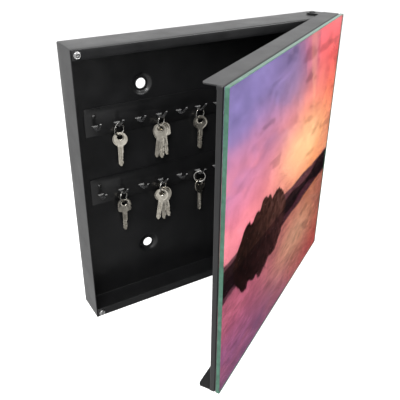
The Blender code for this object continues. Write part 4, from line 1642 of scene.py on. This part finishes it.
@dataclass
class Door:
    """Steel tray on its hinge with tape, printed film and glass, part open."""

    finishes: Finishes
    open_deg: float = 31.45
    glass: float = 150.0
    glass_front: float = -51.2
    glass_back: float = -47.2
    film_front: float = -47.1
    film_back: float = -46.9
    film_half: float = 149.5
    film_points: int = 290
    glass_corner: float = 1.6
    arris: float = 0.45
    tray_w: float = 149.8
    tray_h: float = 150.0
    tray_front: float = -46.2
    return_rear: float = -40.9
    flange_rear: float = -28.0
    free_r: float = 6.0
    ear_r: float = 6.5
    ear_root: float = 2.5
    lip: float = 13.0
    lip_end: float = 3.0
    fold: float = 1.3
    sheet: float = 1.0
    pivot: Array = field(init=False)

    def __post_init__(self) -> None:
        """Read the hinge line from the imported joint."""
        joint = next(j for j in FRAME["joints"] if j["child"] == "door")
        self.pivot = np.array(joint["pos_m"], float) / MM

    def swung(self, surface: Surface) -> Surface:
        """Turn a surface drawn on the shut door to where the door stands.

        Args:
            surface: Surface to turn.

        Returns:
            The same surface.
        """
        surface.points = [turn_z(p, math.radians(self.open_deg), self.pivot)
                          for p in surface.points]
        return surface

    def rear_outline(self) -> tuple[Array, Array]:
        """Rear edge of a flange from the free end to the hinge end.

        Returns:
            The edge as (x, y), and the x on the front fold that each point
            joins, spread so that the joining lines never cross.
        """
        end = self.tray_w - self.fold
        r, rear, (px, py) = self.free_r, self.flange_rear, self.pivot[:2]

        def arc(cx: float, cy: float, radius: float, a0: float, a1: float, n: int) -> Array:
            """Arc in degrees, both ends included."""
            a = np.radians(np.linspace(a0, a1, n))
            return np.stack([cx + radius * np.cos(a), cy + radius * np.sin(a)], 1)

        ear_left = px - self.ear_r
        parts = [arc(-end + r - self.fold, rear - r, r, 172.0, 90.0, 12),
                 np.stack([np.linspace(-end + r + 4, ear_left - self.ear_root - 4, 40),
                           np.full(40, rear)], 1),
                 arc(ear_left - self.ear_root, rear + self.ear_root, self.ear_root, -90, 0, 6),
                 arc(px, py, self.ear_r, 180.0, 0.0, 30),
                 np.array([[px + self.ear_r, rear + 0.3], [px + self.ear_r + 0.4, rear - 0.2],
                           [end - 0.2, rear - 0.8], [end, rear - 1.6]])]
        parts[0][:, 0] = np.maximum(parts[0][:, 0], -end)
        lean = np.cos(np.radians(np.linspace(180.0, 0.0, 30)))
        fronts = [np.linspace(-end, -end + r + 1.5, 12), parts[1][:, 0],
                  np.linspace(ear_left - self.ear_root + 0.2, px - 4.7, 6), px + 4.2 * lean,
                  np.array([px + 5.3, px + 6.2, end - 1.1, end])]
        return np.vstack(parts), np.concatenate(fronts)

    def tray(self) -> None:
        """Folded tray: front plate, flanges with hinge ears, side returns and lips.

        Loops round the plate are drawn in by f(1 - sin t) at depth f(1 - cos t),
        and the flanges and returns carry on from that fold.
        """
        f, w, h = self.fold, self.tray_w, self.tray_h
        rear, side_x = self.rear_outline()
        lip_z = h - self.lip_end
        side_z = np.concatenate([[-(h - f)], np.linspace(-lip_z, lip_z, 49), [h - f]])
        rows = []
        for t in FOLD_TURNS:
            loop = rounded_loop(w, h, f, f * (1 - math.sin(t)), side_x, side_z)
            rows.append(on_y(loop, self.tray_front + f * (1 - math.cos(t))))
        outline = rounded_loop(w, h, f, 0.0, side_x, side_z)
        start = self.return_rear - f
        rows.append(on_y(outline, start))
        surface = Surface().grid(np.array(rows), wrap_cols=True)
        surface.cap(rows[0])
        n, c, m = len(side_x), CORNER_STEPS, len(side_z)
        for sign in (-1, 1):
            low = outline[n - 1:n + c + 2]
            for sz in (-1, 1):
                run = low * np.array([sign, -sz])
                surface.grid(np.array([on_y(run, start), on_y(run, self.return_rear)]))
            inner = side_z[1:-1]
            roll = []
            for t in FOLD_TURNS:
                roll.append(np.stack([np.full(m - 2, sign * (w - f * (1 - math.cos(t)))),
                                      np.full(m - 2, start + f * math.sin(t)), inner], 1))
            for reach in np.linspace(f, self.lip, 5)[1:]:
                shrink = (lip_z - 4.0 * (reach - f) / (self.lip - f)) / lip_z
                roll.append(np.stack([np.full(m - 2, sign * (w - reach)),
                                      np.full(m - 2, self.return_rear), inner * shrink], 1))
            surface.grid(np.array(roll))
            front = np.stack([side_x, np.full(n, start)], 1)
            flange = [front + (rear - front) * t
                      for t in (0.0, 0.12, 0.3, 0.6, 0.85, 0.95, 1.0)]
            surface.grid(np.array([np.stack([p[:, 0], p[:, 1], np.full(n, sign * h)], 1)
                                   for p in flange]))
        obj = self.swung(surface).build("tray_sheet", [self.finishes.tray],
                                        inside=self.tray_middle(), merge=MERGE_SHEET)
        thicken(obj, self.sheet)
        soften_edges(obj, CUT_EASE)
        stand_in(obj, "door", "door_tray")

    def tray_middle(self) -> tuple[float, float, float]:
        """A point inside the open tray where the door stands."""
        point = turn_z(np.array([0.0, -38.0, 0.0]), math.radians(self.open_deg), self.pivot)
        return tuple(float(v) for v in point)

    def pane(self) -> None:
        """Glass slab with ground arrises: loops drawn in by the arris at each face."""
        straight, arris = self.glass - self.glass_corner, self.arris
        side = np.linspace(-straight, straight, 31)
        rows = []
        for inset, y in ((arris, self.glass_front), (0.0, self.glass_front + arris),
                         (0.0, self.glass_back - arris), (arris, self.glass_back)):
            loop = rounded_loop(self.glass, self.glass, self.glass_corner, inset, side, side, 6)
            rows.append(on_y(loop, y))
        surface = Surface().grid(np.array(rows), wrap_cols=True, slot=1)
        surface.cap(rows[0][::-1]).cap(rows[-1])
        obj = self.swung(surface).build("glass_pane", [self.finishes.glass, self.finishes.edge],
                                        crease=25.0)
        obj.visible_shadow = False
        stand_in(obj, "door", "glass_panel")

    def film(self) -> None:
        """Printed film: a fine grid that holds one ink colour at each point."""
        line = np.linspace(-self.film_half, self.film_half, self.film_points)
        x, z = np.meshgrid(line, line)
        front = np.stack([x, np.full_like(x, self.film_front), z], -1)
        rim = np.vstack([front[0, :-1], front[:-1, -1], front[-1, :0:-1], front[:0:-1, 0]])
        back = rim.copy()
        back[:, 1] = self.film_back
        surface = Surface().grid(front)
        surface.grid(np.array([rim, back]), wrap_cols=True, slot=1)
        surface.cap(back, slot=1)
        obj = self.swung(surface).build("print_film", [self.finishes.print,
                                                       self.finishes.film_back])
        mesh = obj.data
        co = np.empty(len(mesh.vertices) * 3)
        mesh.vertices.foreach_get("co", co)
        shut = turn_z(co.reshape(-1, 3) / MM, -math.radians(self.open_deg), self.pivot)
        span = 2 * self.film_half
        u = np.clip(shut[:, 0] / span + 0.5, 0.0, 1.0)
        v = np.clip(shut[:, 2] / span + 0.5, 0.0, 1.0)
        ink = np.concatenate([Picture().paint(u, v), np.ones((len(u), 1))], 1)
        layer = mesh.attributes.new(INK, "FLOAT_COLOR", "POINT")
        layer.data.foreach_set("color", ink.astype(np.float32).ravel())
        stand_in(obj, "door", "printed_film")

    def build(self) -> None:
        """Make the tray and the layers bonded to it."""
        self.tray()
        dress("glass_tape", self.finishes.tape)
        self.film()
        self.pane()


# =============================================================== studio ====
@dataclass
class Studio:
    """Pale floor, soft light and the camera."""

    floor_z: float = -0.42
    camera_at: tuple[float, float, float] = (-0.30310, -0.50922, 0.27055)
    azimuth: float = -31.343
    depression: float = 29.065
    roll: float = 0.521
    lens: float = 50.63
    dome: float = 1.08
    low_left: float = 0.85
    low_right: float = 0.004

    def camera(self) -> None:
        """Stand the camera from its azimuth, downward tilt and roll."""
        a, e = math.radians(self.azimuth), math.radians(self.depression)
        forward = Vector((-math.sin(a) * math.cos(e), math.cos(a) * math.cos(e), -math.sin(e)))
        right = Vector((math.cos(a), math.sin(a), 0.0))
        up = right.cross(forward)
        r = math.radians(self.roll)
        x_axis = right * math.cos(r) + up * math.sin(r)
        y_axis = up * math.cos(r) - right * math.sin(r)
        data = bpy.data.cameras.new("camera")
        data.lens, data.sensor_width = self.lens, 36.0
        data.dof.use_dof = False
        data.clip_start, data.clip_end = 0.01, 120.0
        cam = bpy.data.objects.new("camera", data)
        turn = Matrix((x_axis, y_axis, -forward)).transposed().to_4x4()
        cam.matrix_world = Matrix.Translation(Vector(self.camera_at)) @ turn
        bpy.context.scene.collection.objects.link(cam)
        bpy.context.scene.camera = cam

    def floor(self) -> None:
        """Wide pale floor with a faint mottle."""
        g = Graph("pale_floor")
        g.plain(Metallic=0.0, Roughness=0.9)
        g.shader.inputs["Specular IOR Level"].default_value = 0.1
        g.join(g.tint(g.noise(3.0), (0.93, 0.93, 0.93), (0.95, 0.95, 0.95)),
               g.shader.inputs["Base Color"])
        line = np.linspace(-40000.0, 40000.0, 17)
        x, y = np.meshgrid(line, line)
        plane = Surface().grid(np.stack([x, y, np.full_like(x, self.floor_z / MM)], -1))
        obj = plane.build("studio_floor", [g.material])
        obj.visible_glossy = False
        obj.visible_transmission = False

    def world(self) -> None:
        """White dome overhead, bright cards low on the left, a dark one low on the right.

        Strength = low + (high - low) * step(z), where the low part falls from
        bright to dark as the direction turns towards +X.
        """
        world = bpy.data.worlds.new("studio_dome")
        world.use_nodes = True
        tree = world.node_tree
        coords = tree.nodes.new("ShaderNodeTexCoord")
        split = tree.nodes.new("ShaderNodeSeparateXYZ")
        tree.links.new(coords.outputs["Generated"], split.inputs[0])

        def span(axis: str, start: float, stop: float, low: float,
                 high: float) -> bpy.types.Node:
            """Map one axis of the direction from start..stop to low..high.

            Args:
                axis: X, Y or Z.
                start: Place that gives low.
                stop: Place that gives high.
                low: Result at start.
                high: Result at stop.

            Returns:
                The mapping node.
            """
            tool = tree.nodes.new("ShaderNodeMapRange")
            for key, value in (("From Min", start), ("From Max", stop), ("To Min", low),
                               ("To Max", high)):
                tool.inputs[key].default_value = value
            tree.links.new(split.outputs[axis], tool.inputs["Value"])
            return tool

        card = span("X", -0.05, 0.35, self.low_left, self.low_right)
        lift = span("Z", -0.24, 0.02, 0.0, 1.0)
        mix = tree.nodes.new("ShaderNodeMix")
        mix.data_type = "FLOAT"
        mix.inputs["B"].default_value = self.dome
        tree.links.new(lift.outputs["Result"], mix.inputs["Factor"])
        tree.links.new(card.outputs["Result"], mix.inputs["A"])
        back = tree.nodes["Background"]
        back.inputs["Color"].default_value = (1.0, 1.0, 1.0, 1.0)
        tree.links.new(mix.outputs["Result"], back.inputs["Strength"])
        bpy.context.scene.world = world

    def lamp(self, name: str, at: Sequence[float], target: Sequence[float], size: float,
             power: float) -> None:
        """A square soft box aimed at a point.

        Args:
            name: Lamp name.
            at: Where it stands, in metres.
            target: Point that it faces.
            size: Side of the square.
            power: Power in watts.
        """
        data = bpy.data.lights.new(name, "AREA")
        data.shape, data.size, data.energy = "SQUARE", size, power
        obj = bpy.data.objects.new(name, data)
        obj.location = at
        obj.rotation_euler = (Vector(target) - Vector(at)).to_track_quat("-Z", "Y").to_euler()
        bpy.context.scene.collection.objects.link(obj)

    def build(self) -> None:
        """Set up the studio."""
        bpy.context.scene.view_settings.view_transform = "Standard"
        self.world()
        self.floor()
        self.camera()
        self.lamp("key_box", (-0.9, -1.2, 1.5), (0.0, -0.05, 0.0), 0.7, 34.0)
        self.lamp("top_box", (0.1, 0.0, 1.6), (0.0, 0.0, 0.0), 1.2, 12.0)
        self.lamp("door_box", (1.1, -1.5, 0.9), (0.05, -0.1, 0.0), 1.0, 26.0)


# ================================================================= main ====
def key_sets(finishes: Finishes) -> list[KeySet]:
    """The six sets, in the order they hang: upper row, then lower row.

    Args:
        finishes: Finishes of the cabinet.

    Returns:
        Six sets, in the order set_a to set_f.
    """
    return [
        KeySet(finishes, "set_a", (
            KeyShape("set_a_key_1", Bow.ROUND, (0.7, 1.3, 1.0, 0.6), -32.8, -20.0),)),
        KeySet(finishes, "set_b", (
            KeyShape("set_b_key_1", Bow.SHIELD, (1.1, 0.6, 1.3), -33.4, -24.0, -27.0, 7.0,
                     True),
            KeyShape("set_b_key_2", Bow.ROUND, (0.6, 1.2, 0.8, 1.3), -34.4, -24.0),
            KeyShape("set_b_key_3", Bow.SQUARE, (1.3, 0.7, 1.0), -33.0, -24.0, 27.0, -7.0))),
        KeySet(finishes, "set_c", (
            KeyShape("set_c_key_1", Bow.ROUND, (1.2, 0.7, 1.1, 0.8), -33.6, -22.0),)),
        KeySet(finishes, "set_d", (
            KeyShape("set_d_key_1", Bow.SQUARE, (1.0, 0.6, 1.3), -34.0, -8.0),)),
        KeySet(finishes, "set_e", (
            KeyShape("set_e_key_1", Bow.ROUND, (0.7, 1.2, 0.9, 0.6), -34.2, -24.0, -27.0, 8.0),
            KeyShape("set_e_key_2", Bow.SQUARE, (1.3, 0.6, 1.2), -34.6, -24.0, 0.0, -1.0, True),
            KeyShape("set_e_key_3", Bow.SHIELD, (0.8, 1.3, 0.6), -33.6, -24.0, 27.0, -8.0))),
        KeySet(finishes, "set_f", (
            KeyShape("set_f_key_1", Bow.SHIELD, (1.2, 0.8, 1.3), -35.6, 10.0),)),
    ]


def main() -> None:
    """Build the studio and every sub-assembly."""
    logging.basicConfig(level=logging.INFO, format="%(name)s: %(message)s")
    finishes = Finishes()
    Studio().build()
    Shell(finishes).build()
    HookRail(finishes, "hook_rail_upper", 61.8).build()
    HookRail(finishes, "hook_rail_lower", -15.5).build()
    Fasteners(finishes).build()
    for hung in key_sets(finishes):
        hung.build()
    Door(finishes).build()
    bpy.context.view_layer.update()


if __name__ == "__main__":
    main()
